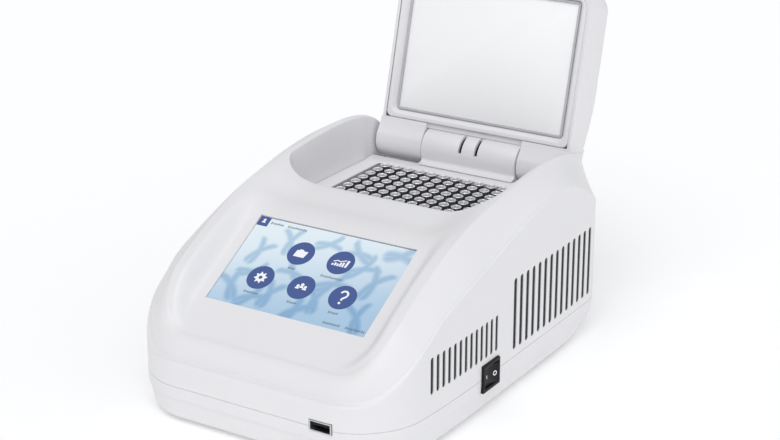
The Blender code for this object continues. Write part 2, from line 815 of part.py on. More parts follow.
def lid_outer_shell():
    steps = {"front": 4, "corner": 6, "side": 8, "back": 4}
    sections = (
        (0, 0), (-0.9, 0.22), (-1.6, 0.45), (-1.8, 0.68), (-0.5, 0.86), (3.2, 0.96), (12, 1), (34, 1),
    )
    rings = []
    for inset, share in sections:
        ring = outline_flat(lid_shape(inset, 6 - 0.3 * inset), steps)
        rings.append([(x, y, mix(LID_FACE, lid_crown(y), share)) for x, y in ring])
    bm = bmesh.new()
    add_loft(bm, rings, cap_last=True)
    mesh = mesh_from(bm, "lid_outer_shell")
    shell = place("lid_outer_shell", mesh, WHITE, LID, smooth=True)
    thicken(shell, 2.0)
    bm = bmesh.new()
    add_box(bm, (-90, -13.9, -30), (90, 30, 40))
    cut(shell, bm, "lid_near_end")
    # The neck carries the knuckles and closes the shell's near end.
    neck = [(-2, -KNUCKLE_RADIUS)] + list(arc(KNUCKLE_RADIUS, -80, 90, 12))
    neck += [(-8, 11.7), (-15.3, 12.9), (-15.3, LID_FACE + 0.35), (-12, LID_FACE - 0.3)]
    neck += [(-8.5, -9.2), (-5, -10.6)]
    bm = bmesh.new()
    add_prism(bm, neck, -KNUCKLE_OUT_X, KNUCKLE_OUT_X)
    cut(shell, bm, "lid_neck", "UNION")
    # The notch clears the fixed cover, and its foot when the lid is closed.
    for name, low, high in (("above", (-11.0, -30), (30, 40)), ("below", (-17.5, -30), (30, -5.2))):
        bm = bmesh.new()
        add_box(bm, (-KNUCKLE_IN_X, *low), (KNUCKLE_IN_X, *high))
        cut(shell, bm, "lid_notch_" + name)
    bm = bmesh.new()
    add_cylinder(bm, (0, 0, 0), 13.1, 2 * KNUCKLE_IN_X, axis="X", sides=48)
    cut(shell, bm, "lid_notch_round")
    bm = bmesh.new()
    add_cylinder(bm, (0, 0, 0), SHAFT_RADIUS + GAP, 200, axis="X")
    cut(shell, bm, "knuckle_bore")


def outline_flat(shape, steps):
    """An outline without the casing's taper."""
    return [(x / back_taper(y), y) for x, y in outline(shape, steps)]


def ring_prism(outer, inner, low, high, steps):
    """A flat frame between two plan outlines, both upright."""
    rings = [
        [(x, y, z) for x, y in outline_flat(shape, steps)]
        for shape, z in ((outer, low), (outer, high), (inner, high), (inner, low), (outer, low))
    ]
    bm = bmesh.new()
    add_loft(bm, rings)
    bmesh.ops.remove_doubles(bm, verts=bm.verts, dist=1e-4)
    return bm


def grown(shape, by):
    """A plan outline moved outwards, its corner radii with it."""
    half, front, back, front_radius, back_radius = shape
    return half + by, front - by, back + by, front_radius + by, back_radius + by


def lid_inner_frame():
    """Frame round the lid's window: a narrow face, and a wall that slopes in to the heated plate."""
    steps = {"front": 2, "corner": 5, "side": 2, "back": 2}
    inset = 2.0 + GAP
    outer = (LID_HALF_X - inset, inset - LID_LENGTH, -16.6, LID_FAR_RADIUS - inset, 4)
    face, back = LID_FACE + 0.4, PLATE_FACE + 5
    sections = (
        (outer, face), (outer, face + 2.6), (grown(WINDOW, 1.8), face + 2.6), (grown(WINDOW, 1.8), back),
        (WINDOW, back), (WINDOW, PLATE_FACE - 0.3), (grown(WINDOW, 2.6), face), (outer, face),
    )
    bm = bmesh.new()
    add_loft(bm, [[(x, y, z) for x, y in outline_flat(shape, steps)] for shape, z in sections])
    bmesh.ops.remove_doubles(bm, verts=bm.verts, dist=1e-4)
    place("lid_inner_frame", mesh_from(bm, "lid_inner_frame"), WHITE, LID, smooth=True)


def lid_gasket():
    """Seal strip at the foot of the frame's slope. The plate's edge rests against it."""
    steps = {"front": 1, "corner": 4, "side": 1, "back": 1}
    low, high = PLATE_FACE - 1.1, PLATE_FACE - GAP
    bm = ring_prism(grown(WINDOW, -GAP), grown(WINDOW, -1.9), low, high, steps)
    place("lid_gasket", mesh_from(bm, "lid_gasket"), SILICONE, LID)


def heated_plate():
    """Sprung stack that presses on the tube caps: plate, heater mat, insulation."""
    layers = (
        ("heated_plate", PLATE, 0.5, PLATE_FACE, PLATE_FACE + 2.6),
        ("lid_heater_mat", SILICONE, 3.5, PLATE_FACE + 2.9, PLATE_FACE + 3.7),
        ("lid_insulation", FOAM, 3.5, PLATE_FACE + 4.0, PLATE_FACE + 12.0),
    )
    steps = {"front": 1, "corner": 3, "side": 1, "back": 1}
    for name, material, inset, low, high in layers:
        shape = (WINDOW_HALF_X - inset, inset - WINDOW_FAR, -WINDOW_NEAR - inset, 3, 3)
        bm = bmesh.new()
        rings = [[(x, y, z) for x, y in outline_flat(shape, steps)] for z in (low, high)]
        add_loft(bm, rings, cap_first=True, cap_last=True)
        place(name, mesh_from(bm, name), material, LID)
    for number, (x, y) in enumerate(((-44, -92), (44, -92), (-44, -46), (44, -46))):
        plate_spring(f"plate_spring_{number + 1}", x, y, PLATE_FACE + 12.3)


def plate_spring(name, x, y, low):
    """Wave spring between the insulation and the lid's shell, as a turned ring."""
    height = 9.4
    steps = 16
    rings = []
    for radius, z in ((6, 0), (6, height), (4.6, height), (4.6, 0), (6, 0)):
        rings.append([
            (radius * math.cos(math.tau * k / steps), radius * math.sin(math.tau * k / steps), z)
            for k in range(steps)
        ])
    bm = bmesh.new()
    add_loft(bm, rings)
    bmesh.ops.remove_doubles(bm, verts=bm.verts, dist=1e-4)
    place(name, mesh_from(bm, name), STEEL, LID, (x, y, low), smooth=True)


clear_scene()
PARTS = make_collection("thermal_cycler")
CUTTERS = make_collection("cutters", hidden=True)
ROOT = make_empty("thermal_cycler", (0, WELL_CENTRE_BACK, WELL_TOP_HEIGHT))
LID = make_empty("lid_pivot", (0, HINGE_Y, HINGE_Z), ROOT)
LID.rotation_euler.x = -LID_OPEN

WHITE = make_material("white_plastic", (0.80, 0.80, 0.82), 0.38)
ALUMINIUM = make_material("aluminium", (0.72, 0.72, 0.74), 0.32, 1.0)
CERAMIC = make_material("ceramic", (0.85, 0.85, 0.82), 0.5)
STEEL = make_material("steel", (0.60, 0.60, 0.62), 0.3, 1.0)
BRASS = make_material("brass", (0.75, 0.6, 0.3), 0.3, 1.0)
RUBBER = make_material("rubber", (0.03, 0.03, 0.03), 0.8)
BLACK = make_material("black_plastic", (0.02, 0.02, 0.022), 0.4)
BOARD = make_material("circuit_board", (0.02, 0.20, 0.08), 0.5)
GLASS = make_material("display_glass", (0.55, 0.75, 0.92), 0.08)
SILICONE = make_material("silicone", (0.35, 0.35, 0.37), 0.6)
PLATE = make_material("plate_coating", (0.88, 0.88, 0.89), 0.3)
FOAM = make_material("foam", (0.25, 0.25, 0.25), 0.9)

upper_housing()
base_tray()
feet_and_screws()
block_surround()
sample_block()
cooling()
screen()
electronics()
usb_socket()
rocker_switch()
mains_inlet()
hinge_cover()
hinge_hardware()
lid_outer_shell()
lid_inner_frame()
lid_gasket()
heated_plate()
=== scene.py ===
"""Benchtop thermal cycler: the looks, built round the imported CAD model.

Shapes are drawn in millimetres in the frame of the sample block: zero is the centre of the well tops,
x to the right, y to the back, z up. Lid pieces are drawn closed about the hinge axis. The matrices
BLOCK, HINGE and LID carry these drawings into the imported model's frame, in metres.
"""

import json
import math

import bmesh
import bpy
import numpy as np
from mathutils import Matrix, Vector


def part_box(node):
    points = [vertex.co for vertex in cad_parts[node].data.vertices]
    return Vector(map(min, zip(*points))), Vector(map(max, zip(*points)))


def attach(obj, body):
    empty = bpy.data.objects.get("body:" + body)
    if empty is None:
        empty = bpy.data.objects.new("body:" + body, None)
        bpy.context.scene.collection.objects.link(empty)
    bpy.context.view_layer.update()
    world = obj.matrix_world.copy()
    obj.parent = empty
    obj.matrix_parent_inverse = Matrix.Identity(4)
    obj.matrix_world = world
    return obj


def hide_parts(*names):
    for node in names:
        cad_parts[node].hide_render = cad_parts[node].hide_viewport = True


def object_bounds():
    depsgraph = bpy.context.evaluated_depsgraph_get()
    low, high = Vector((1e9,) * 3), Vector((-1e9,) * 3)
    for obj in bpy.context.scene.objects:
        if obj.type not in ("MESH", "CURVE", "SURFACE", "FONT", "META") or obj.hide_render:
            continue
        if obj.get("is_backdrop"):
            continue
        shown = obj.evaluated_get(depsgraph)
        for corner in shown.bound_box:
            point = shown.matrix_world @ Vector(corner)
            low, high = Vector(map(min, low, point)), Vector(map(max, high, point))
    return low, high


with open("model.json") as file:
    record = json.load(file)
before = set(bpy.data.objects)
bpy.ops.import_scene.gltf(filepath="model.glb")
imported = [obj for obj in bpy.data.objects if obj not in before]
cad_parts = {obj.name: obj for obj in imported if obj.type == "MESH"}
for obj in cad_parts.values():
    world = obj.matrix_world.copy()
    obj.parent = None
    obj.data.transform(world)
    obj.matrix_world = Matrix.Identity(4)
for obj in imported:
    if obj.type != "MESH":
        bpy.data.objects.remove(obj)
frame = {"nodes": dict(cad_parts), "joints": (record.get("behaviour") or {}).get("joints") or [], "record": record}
cad_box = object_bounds()

MM = 0.001
SLOTS = {entry["node"]: entry["material_slot"] for entry in frame["record"]["subparts"]}
JOINTS = {joint["name"]: joint for joint in frame["joints"]}

block_low, block_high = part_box("sample_block")
BLOCK_ORIGIN = Vector(((block_low.x + block_high.x) / 2, (block_low.y + block_high.y) / 2, block_high.z))
HINGE_POINT = Vector(JOINTS["lid_hinge"]["pos_m"])
LID_OPEN = math.radians(JOINTS["lid_hinge"]["range_deg"][1])
BLOCK = Matrix.Translation(BLOCK_ORIGIN) @ Matrix.Scale(MM, 4)
HINGE = Matrix.Translation(HINGE_POINT) @ Matrix.Scale(MM, 4)
LID = Matrix.Translation(HINGE_POINT) @ Matrix.Rotation(-LID_OPEN, 4, "X") @ Matrix.Scale(MM, 4)

# Casing heights
SEAM_Z = -72.0
GROOVE_Z = -80.0
FLOOR_Z = -94.0
SHELL = 2.5
FIT = 0.3  # clearance round an inserted part
SEAM_GAP = 0.08  # half the gap between hood and base
SEAM_CHAMFER = 0.15

# Touch screen, on a plane that rises to the back
SCREEN_TILT = math.radians(29.8)
SCREEN_CENTRE = Vector((0, -130, -12.2))
SCREEN_HALF_X = 55.65
SCREEN_HALF_S = 33.6  # along the slope
RECESS_HALF_X = 62.5
RECESS_FRONT_Y = -183.5
RECESS_RADIUS = 25.0
PLATEAU_Z = 9.3  # level top between the screen and the opening
LIP_RISE = 3.6  # from there up to the opening's front edge
DECK_Z = -3.0

# Sample block
WELL_PITCH = 9.0
WELL_COLUMNS = 12
WELL_ROWS = 8
WELL_FLOOR_Z = -8.0
BLOCK_HALF_X = 56.5
BLOCK_HALF_Y = 38.5
BLOCK_HEIGHT = 20.0
BLOCK_HOLE_HALF_X = 60.5
BLOCK_HOLE_HALF_Y = 41.5
FIELD_HALF_X = 53.9  # sunk field round the collars
FIELD_HALF_Y = 35.9
COLLAR_HOLE_RADIUS = 2.9
DECK_EDGE_GAP = 0.4
DECK_BACK_Y = 51.5  # behind it the deck drops to the hinge pocket

# Lid and hinge
LID_LENGTH = 117.0
LID_HALF_X = 71.0
LID_FACE = -8.0
LID_TOP = 23.5
LID_FAR_RADIUS = 13.0
KNUCKLE_RADIUS = 11.5
KNUCKLE_IN_X = 36.5
KNUCKLE_OUT_X = 72.0
WINDOW_HALF_X = 63.2
WINDOW_NEAR = 20.9
WINDOW_FAR = 110.2
WINDOW = (WINDOW_HALF_X, -WINDOW_FAR, -WINDOW_NEAR, 3.0, 3.0)
PLATE_FACE = -4.0
FRAME_GAP = 2.3  # from the lid's edge in to its frame
COVER_HALF_X = 35.5
COVER_RADIUS = 12.7
COVER_THICK = 2.5
COVER_SLOT_X = 6.0
COVER_SLOT_HALF = 1.3
COVER_SWEEP_RADIUS = 13.1  # of the lid's notch, just outside the cover
SHAFT_RADIUS = 3.0
POCKET_FLOOR = -18.0

# Switch and sockets
SWITCH_Y = -84.0
SWITCH_Z = -72.0
SWITCH_HALF_Y = 10.0
SWITCH_HALF_Z = 8.75
SWITCH_FACE_X = 98.2
ROCKER_AXIS_X = 94.8
ROCKER_TIP = math.radians(8)
USB_X = 51.0
USB_Y = -197.4
USB_Z = -71.0
INLET_X = -32.0
INLET_Y = 78.0
INLET_Z = -46.0
FAN_X = 41.0
FAN_Y = -4.0
FAN_RADIUS = 36
FAN_SLOTS = 6
FAN_SLOT_PITCH = 12
FAN_SLOT_HALF = 2

# Outlines in plan: half width, front y, back y, front corner radius, back corner radius
WALL = (96.6, -197.0, 78.0, 40.0, 30.0)
HOOD_FOOT = (95.4, -193.0, 77.2, 38.0, 29.0)
CREST = (79.5, RECESS_FRONT_Y, 74.5, 28.0, 6.0)
RIM = (76.2, -55.0, 72.0, 20.0, 2.5)
DECK = (72.8, -52.7, 70.0, 16.0, 2.0)
HINGE_BAY_HALF_X = 74.4
NARROWING = 0.065  # share of the wall's width lost over the 100 mm in front of NARROW_FROM
NARROW_FROM = -95

# Upright slots in each side wall: how many, first y, last y, low z, high z, width
SLOT_GROUPS = ((14, -53.8, 47.2, -67.0, -20.5, 3.9), (13, -148.3, -76.5, -59.5, -36.5, 3.1))

# Heights along the side of the hood, as (y, z), from front to back
RIDGE = (
    (-197, -52), (-184, -43), (-175, -32), (-154, -13), (-101, 12), (-63, 21.5), (-7, 28),
    (30, 28.5), (55, 23.5), (66, 16), (73, 5), (80, -10),
)
LEDGE = (
    (-198, -56), (-190, -55.5), (-183, -52), (-176, -46), (-160, -33), (-149, -26), (-137, -18),
    (-113, -9.5), (-82, -1), (-55, 7), (-25, 14), (5, 17), (30, 12), (80, -18),
)

# How many steps each stretch of an outline has
FINE = {"front": 110, "corner": 22, "side": 110, "back": 56}
PLAIN = {"front": 24, "corner": 16, "side": 30, "back": 16}
COARSE = {"front": 12, "corner": 12, "side": 12, "back": 12}


# ---- shape rules ----


def smooth(value, low, high):
    t = np.clip((value - low) / (high - low), 0, 1)
    return t * t * (3 - 2 * t)


def mix(a, b, t):
    return a + (b - a) * t


def along(knots, y):
    """Smooth curve through (y, z) knots: a cubic between neighbours, with Catmull-Rom slopes."""
    ys, zs = np.array(knots, float).T
    y = np.clip(y, ys[0], ys[-1])
    i = np.clip(np.searchsorted(ys, y, side="right") - 1, 0, len(ys) - 2)
    before, after = np.maximum(i - 1, 0), np.minimum(i + 2, len(ys) - 1)
    step = ys[i + 1] - ys[i]
    t = (y - ys[i]) / step
    slope_1 = (zs[i + 1] - zs[before]) / (ys[i + 1] - ys[before]) * step
    slope_2 = (zs[after] - zs[i]) / (ys[after] - ys[i]) * step
    return (
        zs[i] * (2 * t**3 - 3 * t**2 + 1)
        + slope_1 * (t**3 - 2 * t**2 + t)
        + zs[i + 1] * (3 * t**2 - 2 * t**3)
        + slope_2 * (t**3 - t**2)
    )


def soft_min(a, b, reach):
    share = np.clip(0.5 + 0.5 * (b - a) / reach, 0, 1)
    return mix(b, a, share) - reach * share * (1 - share)


def screen_plane(y):
    return SCREEN_CENTRE.z + (y - SCREEN_CENTRE.y) * math.tan(SCREEN_TILT)


def outside_recess(x, y):
    """Distance in plan out of the screen's recess, whose front corners are round."""
    dx = np.abs(x) - (RECESS_HALF_X - RECESS_RADIUS)
    dy = (RECESS_FRONT_Y + RECESS_RADIUS) - y
    round_corner = np.hypot(np.maximum(dx, 0), np.maximum(dy, 0))
    return np.where((dx > 0) & (dy > 0), round_corner, np.maximum(dx, dy)) - RECESS_RADIUS


def hood_top(x, y):
    """Height of the hood's upper surface."""
    middle = soft_min(screen_plane(y), PLATEAU_Z, 6) + LIP_RISE * smooth(y, -80, -56)
    ridge = along(RIDGE, y)
    beside_screen = smooth(outside_recess(x, y), 0, 11)
    beside_opening = smooth(np.abs(x), 40, 80) ** 1.6
    rise = mix(beside_screen, beside_opening, smooth(y, -114, -84))
    front_and_sides = mix(middle, ridge, rise)
    hinge_gap = smooth(y, 68, 71) * (1 - smooth(np.abs(x), 74.2, 75.6))
    return mix(front_and_sides, -8, hinge_gap)


def back_taper(y):
    """The casing narrows a little towards the back."""
    return 1 - 0.02 * np.maximum(0, (y + 20) / 100) ** 2


def front_narrowing(y, share):
    """The wall also narrows towards the front."""
    return 1 - share * np.maximum(0, (NARROW_FROM - y) / 100) ** 2


def outline(shape, steps, tapered=True, narrowing=0.0):
    """Points of a rounded rectangle in plan, anticlockwise from the left end of its front."""
    half, front, back, front_radius, back_radius = shape
    corners = (
        (half - front_radius, front + front_radius, front_radius, -90, "side"),
        (half - back_radius, back - back_radius, back_radius, 0, "back"),
        (back_radius - half, back - back_radius, back_radius, 90, "side"),
        (front_radius - half, front + front_radius, front_radius, 180, "front"),
    )
    points = []
    for index, (cx, cy, radius, start, following) in enumerate(corners):
        turns = np.radians(start + np.linspace(0, 90, steps["corner"] + 1))
        arc_points = np.column_stack([cx + radius * np.cos(turns), cy + radius * np.sin(turns)])
        points += list(arc_points[:-1])
        nx, ny, next_radius, next_start, _ = corners[(index + 1) % 4]
        turn = math.radians(next_start)
        there = np.array([nx + next_radius * math.cos(turn), ny + next_radius * math.sin(turn)])
        shares = np.arange(steps[following])[:, None] / steps[following]
        points += list(mix(arc_points[-1], there, shares))
    points = np.array(points)
    if tapered:
        points[:, 0] *= back_taper(points[:, 1])
    points[:, 0] *= front_narrowing(points[:, 1], narrowing)
    return points


def inset(shape, by):
    half, front, back, front_radius, back_radius = shape
    return half - by, front + by, back - by, max(front_radius - by, 0.5), max(back_radius - by, 0.5)


def ring_at(points, z):
    return np.column_stack([points, np.broadcast_to(z, len(points))])


def arc(radius, start, end, count):
    """(y, z) points about the hinge axis, in degrees from the back (+y) towards up (+z)."""
    turns = np.radians(np.linspace(start, end, count + 1))
    return [(radius * math.cos(turn), radius * math.sin(turn)) for turn in turns]


# ---- meshes ----


def mesh_of(vertices, faces):
    mesh = bpy.data.meshes.new("drawn")
    mesh.from_pydata([tuple(map(float, vertex)) for vertex in vertices], [], faces)
    mesh.validate()
    return mesh


def mesh_from(bm):
    mesh = bpy.data.meshes.new("drawn")
    bm.to_mesh(mesh)
    bm.free()
    return mesh


def loft(rings, cap_first=False, cap_last=False, closed=False):
    """Skin over rings with equal numbers of points, each anticlockwise seen from outside their end."""
    count = len(rings[0])
    here = np.arange(count)
    following = (here + 1) % count
    faces = []
    for k in range(len(rings) - 1 + closed):
        low, high = k * count, (k + 1) % len(rings) * count
        quads = np.column_stack([low + here, low + following, high + following, high + here])
        faces += quads.tolist()
    if cap_first:
        faces.append(here[::-1].tolist())
    if cap_last:
        faces.append(((len(rings) - 1) * count + here).tolist())
    return mesh_of(np.concatenate(rings), faces)


def prism(profile, low_x, high_x):
    """A (y, z) outline, anticlockwise seen from +x, drawn out along x."""
    rings = [[(x, y, z) for y, z in profile] for x in (low_x, high_x)]
    return loft([np.array(ring) for ring in rings], cap_first=True, cap_last=True)


def box(low, high):
    bm = bmesh.new()
    verts = bmesh.ops.create_cube(bm, size=1)["verts"]
    bmesh.ops.scale(bm, vec=Vector(high) - Vector(low), verts=verts)
    bmesh.ops.translate(bm, vec=(Vector(high) + Vector(low)) / 2, verts=verts)
    return mesh_from(bm)


def turned(profile, sides=48, axis="Z", closed=False):
    """A (radius, height) profile turned about Z or X. Its ends are capped unless it closes on itself."""
    turns = np.arange(sides) * math.tau / sides
    rings = []
    for radius, height in profile:
        rings.append(ring_at(np.column_stack([np.cos(turns), np.sin(turns)]) * radius, height))
    mesh = loft(rings, cap_first=not closed, cap_last=not closed, closed=closed)
    if axis == "X":
        mesh.transform(Matrix.Rotation(math.pi / 2, 4, "Y"))
    return mesh


def moved(mesh, offset, turn=None):
    if turn is not None:
        mesh.transform(turn.to_4x4())
    mesh.transform(Matrix.Translation(Vector(offset)))
    return mesh


def joined(*meshes):
    """One mesh that holds all these shapes."""
    bm = bmesh.new()
    for mesh in meshes:
        bm.from_mesh(mesh)
        bpy.data.meshes.remove(mesh)
    return mesh_from(bm)


def modified(mesh, *steps):
    """The mesh after modifiers, each given as (type, {setting: value}).

    A value that is a mesh is a Boolean's other shape.
    """
    item = bpy.data.objects.new("working", mesh)
    bpy.context.scene.collection.objects.link(item)
    helpers = []
    for kind, settings in steps:
        modifier = item.modifiers.new(kind, kind)
        for name, value in settings.items():
            if isinstance(value, bpy.types.Mesh):
                value = bpy.data.objects.new("helper", value)
                bpy.context.scene.collection.objects.link(value)
                helpers.append(value)
            setattr(modifier, name, value)
    graph = bpy.context.evaluated_depsgraph_get()
    result = bpy.data.meshes.new_from_object(item.evaluated_get(graph))
    for other in [item, *helpers]:
        bpy.data.objects.remove(other)
    return result


def minus(other):
    return "BOOLEAN", {"operation": "DIFFERENCE", "object": other}


def plus(other):
    return "BOOLEAN", {"operation": "UNION", "object": other}


def bevel(width, segments=3, angle=30):
    return "BEVEL", {
        "width": width,
        "segments": segments,
        "limit_method": "ANGLE",
        "angle_limit": math.radians(angle),
        "use_clamp_overlap": True,
    }


def wall(thickness):
    return "SOLIDIFY", {"thickness": thickness, "offset": -1, "use_even_offset": False}


def piece(name, mesh, place, look, nodes, body="base", sharp=35):
    """Puts a drawn mesh into the model: it stands for CAD nodes and rides on their body."""
    mesh.transform(place)
    mesh.name = name
    mesh.materials.clear()
    mesh.materials.append(LOOKS[look])
    mesh.shade_smooth()
    mesh.set_sharp_from_angle(angle=math.radians(sharp))
    item = bpy.data.objects.new(name, mesh)
    bpy.context.scene.collection.objects.link(item)
    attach(item, body)
    if nodes:
        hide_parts(*nodes)
    look if look in SLOT_NAMES else (SLOTS[nodes[0]] if nodes else "display")


# ---- materials ----

SLOT_NAMES = {entry["slot"] for entry in frame["record"]["materials"]}
LOOKS = {}


def look(
    name, colour, roughness, metallic=0.0,
    grain=0.0, grain_size=0.5, mottle=0.02, streaks=(1, 1, 1), **sockets,
):
    """A Principled material with moulding or machining grain, faint colour drift and uneven gloss.

    grain is the bump's height and grain_size its scale, both in millimetres. streaks stretches the
    grain along an axis, as brushing or extrusion does.
    """
    material = bpy.data.materials.new(name)
    material.use_nodes = True
    nodes, links = material.node_tree.nodes, material.node_tree.links
    shader = nodes["Principled BSDF"]
    shader.inputs["Metallic"].default_value = metallic
    for socket, value in sockets.items():
        shader.inputs[socket.replace("_", " ")].default_value = value
    place = nodes.new("ShaderNodeTexCoord").outputs["Object"]
    stretch = nodes.new("ShaderNodeMapping")
    stretch.inputs["Scale"].default_value = streaks
    links.new(place, stretch.inputs["Vector"])

    def noise(scale, detail, vector):
        node = nodes.new("ShaderNodeTexNoise")
        node.inputs["Scale"].default_value = scale
        node.inputs["Detail"].default_value = detail
        links.new(vector, node.inputs["Vector"])
        return node.outputs["Fac"]

    def spread(value, low, high):
        node = nodes.new("ShaderNodeMapRange")
        node.inputs["From Min"].default_value = 0.3
        node.inputs["From Max"].default_value = 0.7
        node.inputs["To Min"].default_value = low
        node.inputs["To Max"].default_value = high
        links.new(value, node.inputs["Value"])
        return node.outputs["Result"]

    tone = nodes.new("ShaderNodeMix")
    tone.data_type = "RGBA"
    tone.inputs["A"].default_value = (*[c * (1 - mottle) for c in colour], 1)
    tone.inputs["B"].default_value = (*[min(c * (1 + mottle), 1) for c in colour], 1)
    links.new(spread(noise(22, 3, place), 0, 1), tone.inputs["Factor"])
    links.new(tone.outputs["Result"], shader.inputs["Base Color"])
    fine = noise(1000 / grain_size, 2, stretch.outputs["Vector"])
    coarse = noise(1000 / grain_size / 6, 3, stretch.outputs["Vector"])
    links.new(spread(coarse, roughness - 0.03, roughness + 0.03), shader.inputs["Roughness"])
    if grain:
        bump = nodes.new("ShaderNodeBump")
        bump.inputs["Strength"].default_value = 1.0
        bump.inputs["Distance"].default_value = grain * MM
        links.new(fine, bump.inputs["Height"])
        links.new(bump.outputs["Normal"], shader.inputs["Normal"])
    LOOKS[name] = material


def make_looks():
    look("white_plastic", (0.795, 0.790, 0.806), 0.40, grain=0.006, grain_size=0.6, mottle=0.008)
    look("aluminium", (0.86, 0.86, 0.88), 0.30, metallic=1.0, grain=0.004, grain_size=0.4, mottle=0.03)
    look("dark_anodised", (0.035, 0.035, 0.045), 0.5, grain=0.006, grain_size=0.4)
    look("grey_anodised", (0.16, 0.16, 0.18), 0.5, grain=0.006, grain_size=0.4)
    look("ceramic", (0.85, 0.85, 0.82), 0.5, grain=0.004)
    look("steel", (0.62, 0.62, 0.64), 0.26, metallic=1.0, grain=0.003, grain_size=0.3, streaks=(1, 8, 1))
    look("brass", (0.78, 0.63, 0.33), 0.25, metallic=1.0, grain=0.002)
    look("rubber", (0.035, 0.035, 0.037), 0.75, grain=0.02, grain_size=0.5, mottle=0.08)
    look(
        "black_plastic", (0.010, 0.010, 0.011), 0.45,
        grain=0.006, grain_size=0.4, mottle=0.05, Specular_IOR_Level=0.2,
    )
    look("circuit_board", (0.02, 0.20, 0.08), 0.4, grain=0.01, grain_size=1.5, mottle=0.1)
    look("silicone", (0.50, 0.50, 0.53), 0.55, grain=0.004, mottle=0.03)
    look("plate_coating", (0.97, 0.97, 0.975), 0.42, grain=0.001, grain_size=1.0, mottle=0.004)
    look("foam", (0.25, 0.25, 0.25), 0.95, grain=0.15, grain_size=0.8, mottle=0.15)
    look("print_white", (0.90, 0.92, 0.95), 0.3)
    look("icon_blue", (0.060, 0.105, 0.300), 0.25)
    look("icon_white", (0.93, 0.95, 0.98), 0.25)
    look("label_grey", (0.16, 0.18, 0.22), 0.3)
    LOOKS["display"] = display_look()


def display_look():
    """Lit screen: pale at the top and light blue below, with soft darker shapes from the mesh's own layer."""
    material = bpy.data.materials.new("display")
    material.use_nodes = True
    nodes, links = material.node_tree.nodes, material.node_tree.links
    shader = nodes["Principled BSDF"]
    shader.inputs["Roughness"].default_value = 0.12
    shade = nodes.new("ShaderNodeAttribute")
    shade.attribute_name = "picture"
    links.new(shade.outputs["Color"], shader.inputs["Base Color"])
    links.new(shade.outputs["Color"], shader.inputs["Emission Color"])
    shader.inputs["Emission Strength"].default_value = 0.12
    return material


# ---- casing ----


def hood_skin():
    """The hood's outer skin from its seam over the ledge, shoulder and top, then down to the deck."""
    wall_ring, foot = (outline(shape, FINE, narrowing=NARROWING) for shape in (WALL, HOOD_FOOT))
    crest_ring, rim_ring = (outline(shape, FINE) for shape in (CREST, RIM))
    seam = SEAM_Z + SEAM_GAP
    rings = [ring_at(outline(inset(WALL, SEAM_CHAMFER), FINE, narrowing=NARROWING), seam)]
    for z in (seam + SEAM_CHAMFER, seam + 4):
        rings.append(ring_at(wall_ring, z))
    ledge_section = (  # how far from the wall in to the hood's foot, and the height over the ledge line
        (0, -2.6), (0.015, -1.7), (0.06, -1.0), (0.14, -0.5), (0.27, -0.15), (0.45, 0.1),
        (0.65, 0.28), (0.84, 0.48), (0.95, 0.8), (1, 1.3),
    )
    for share, lift in ledge_section:
        points = mix(wall_ring, foot, share)
        rings.append(ring_at(points, along(LEDGE, points[:, 1]) + lift))
    start_lift = ledge_section[-1][1]
    crest = ring_at(crest_ring, hood_top(*crest_ring.T))
    flatness = mix(1.4, 1.85, smooth(foot[:, 1], -190, -165))  # 1 is a quarter ellipse, 2 a straight slope
    for turn in np.radians(np.linspace(0, 90, 23)[1:-1]):
        points = mix(foot, crest_ring, (1 - math.cos(turn) ** flatness)[:, None])
        low = along(LEDGE, points[:, 1]) + start_lift
        rings.append(ring_at(points, mix(low, crest[:, 2], math.sin(turn) ** flatness)))
    rings.append(crest)
    for share in np.linspace(0, 1, 91)[1:]:
        points = mix(crest_ring, rim_ring, share)
        rings.append(ring_at(points, hood_top(*points.T)))
    rim, deck = rings[-1], deck_outline(0, FINE)
    fillet_end = 0.18  # as a share of the way from the rim to the deck
    for share in (0.03, 0.07, 0.12, fillet_end, 0.4, 0.7, 1):
        points = mix(rim_ring, deck, share)
        fillet = 1.4 * min(share / fillet_end, 1) ** 2
        slope = max(share - fillet_end, 0) / (1 - fillet_end)
        rings.append(ring_at(points, mix(rim[:, 2] - fillet, np.minimum(0, rim[:, 2] - 2), slope)))
    rings.append(ring_at(deck, -14))
    return loft(rings)


def deck_outline(by, steps):
    """The opening at deck level, wider in the hinge bay."""
    points = outline(inset(DECK, by), steps)
    spread = HINGE_BAY_HALF_X / DECK[0] - 1
    points[:, 0] *= 1 + spread * smooth(points[:, 1], 40, 49)
    return points


def slots(inner, outer, slack=0.0):
    """Upright shapes with round ends in each side wall, from inner to outer behind its face."""
    shapes = []
    for count, first, last, low, high, width in SLOT_GROUPS:
        radius = width / 2
        upper = [(y, high - radius + z) for y, z in arc(radius - slack, 0, 180, 8)]
        lower = [(y, low + radius + z) for y, z in arc(radius - slack, 180, 360, 8)]
        for k in range(count):
            y = mix(first, last, k / (count - 1))
            face = WALL[0] * back_taper(y) * front_narrowing(y, NARROWING)
            for side in (-1, 1):
                near, far = sorted((side * (face - inner), side * (face - outer)))
                shapes.append(moved(prism(upper + lower, near, far), (0, y, 0)))
    return joined(*shapes)


def wall_openings():
    """Cutters for the mains switch, the USB socket and the mains inlet."""
    return joined(
        box(
            (80, SWITCH_Y - SWITCH_HALF_Y - FIT, SWITCH_Z - SWITCH_HALF_Z - FIT),
            (105, SWITCH_Y + SWITCH_HALF_Y + FIT, SWITCH_Z + SWITCH_HALF_Z + FIT),
        ),
        box((USB_X - 7.8, -205, USB_Z - 3.6), (USB_X + 7.8, -185, USB_Z + 3.6)),
        box((INLET_X - 14, 60, INLET_Z - 10.5), (INLET_X + 14, 90, INLET_Z + 10.5)),
    )


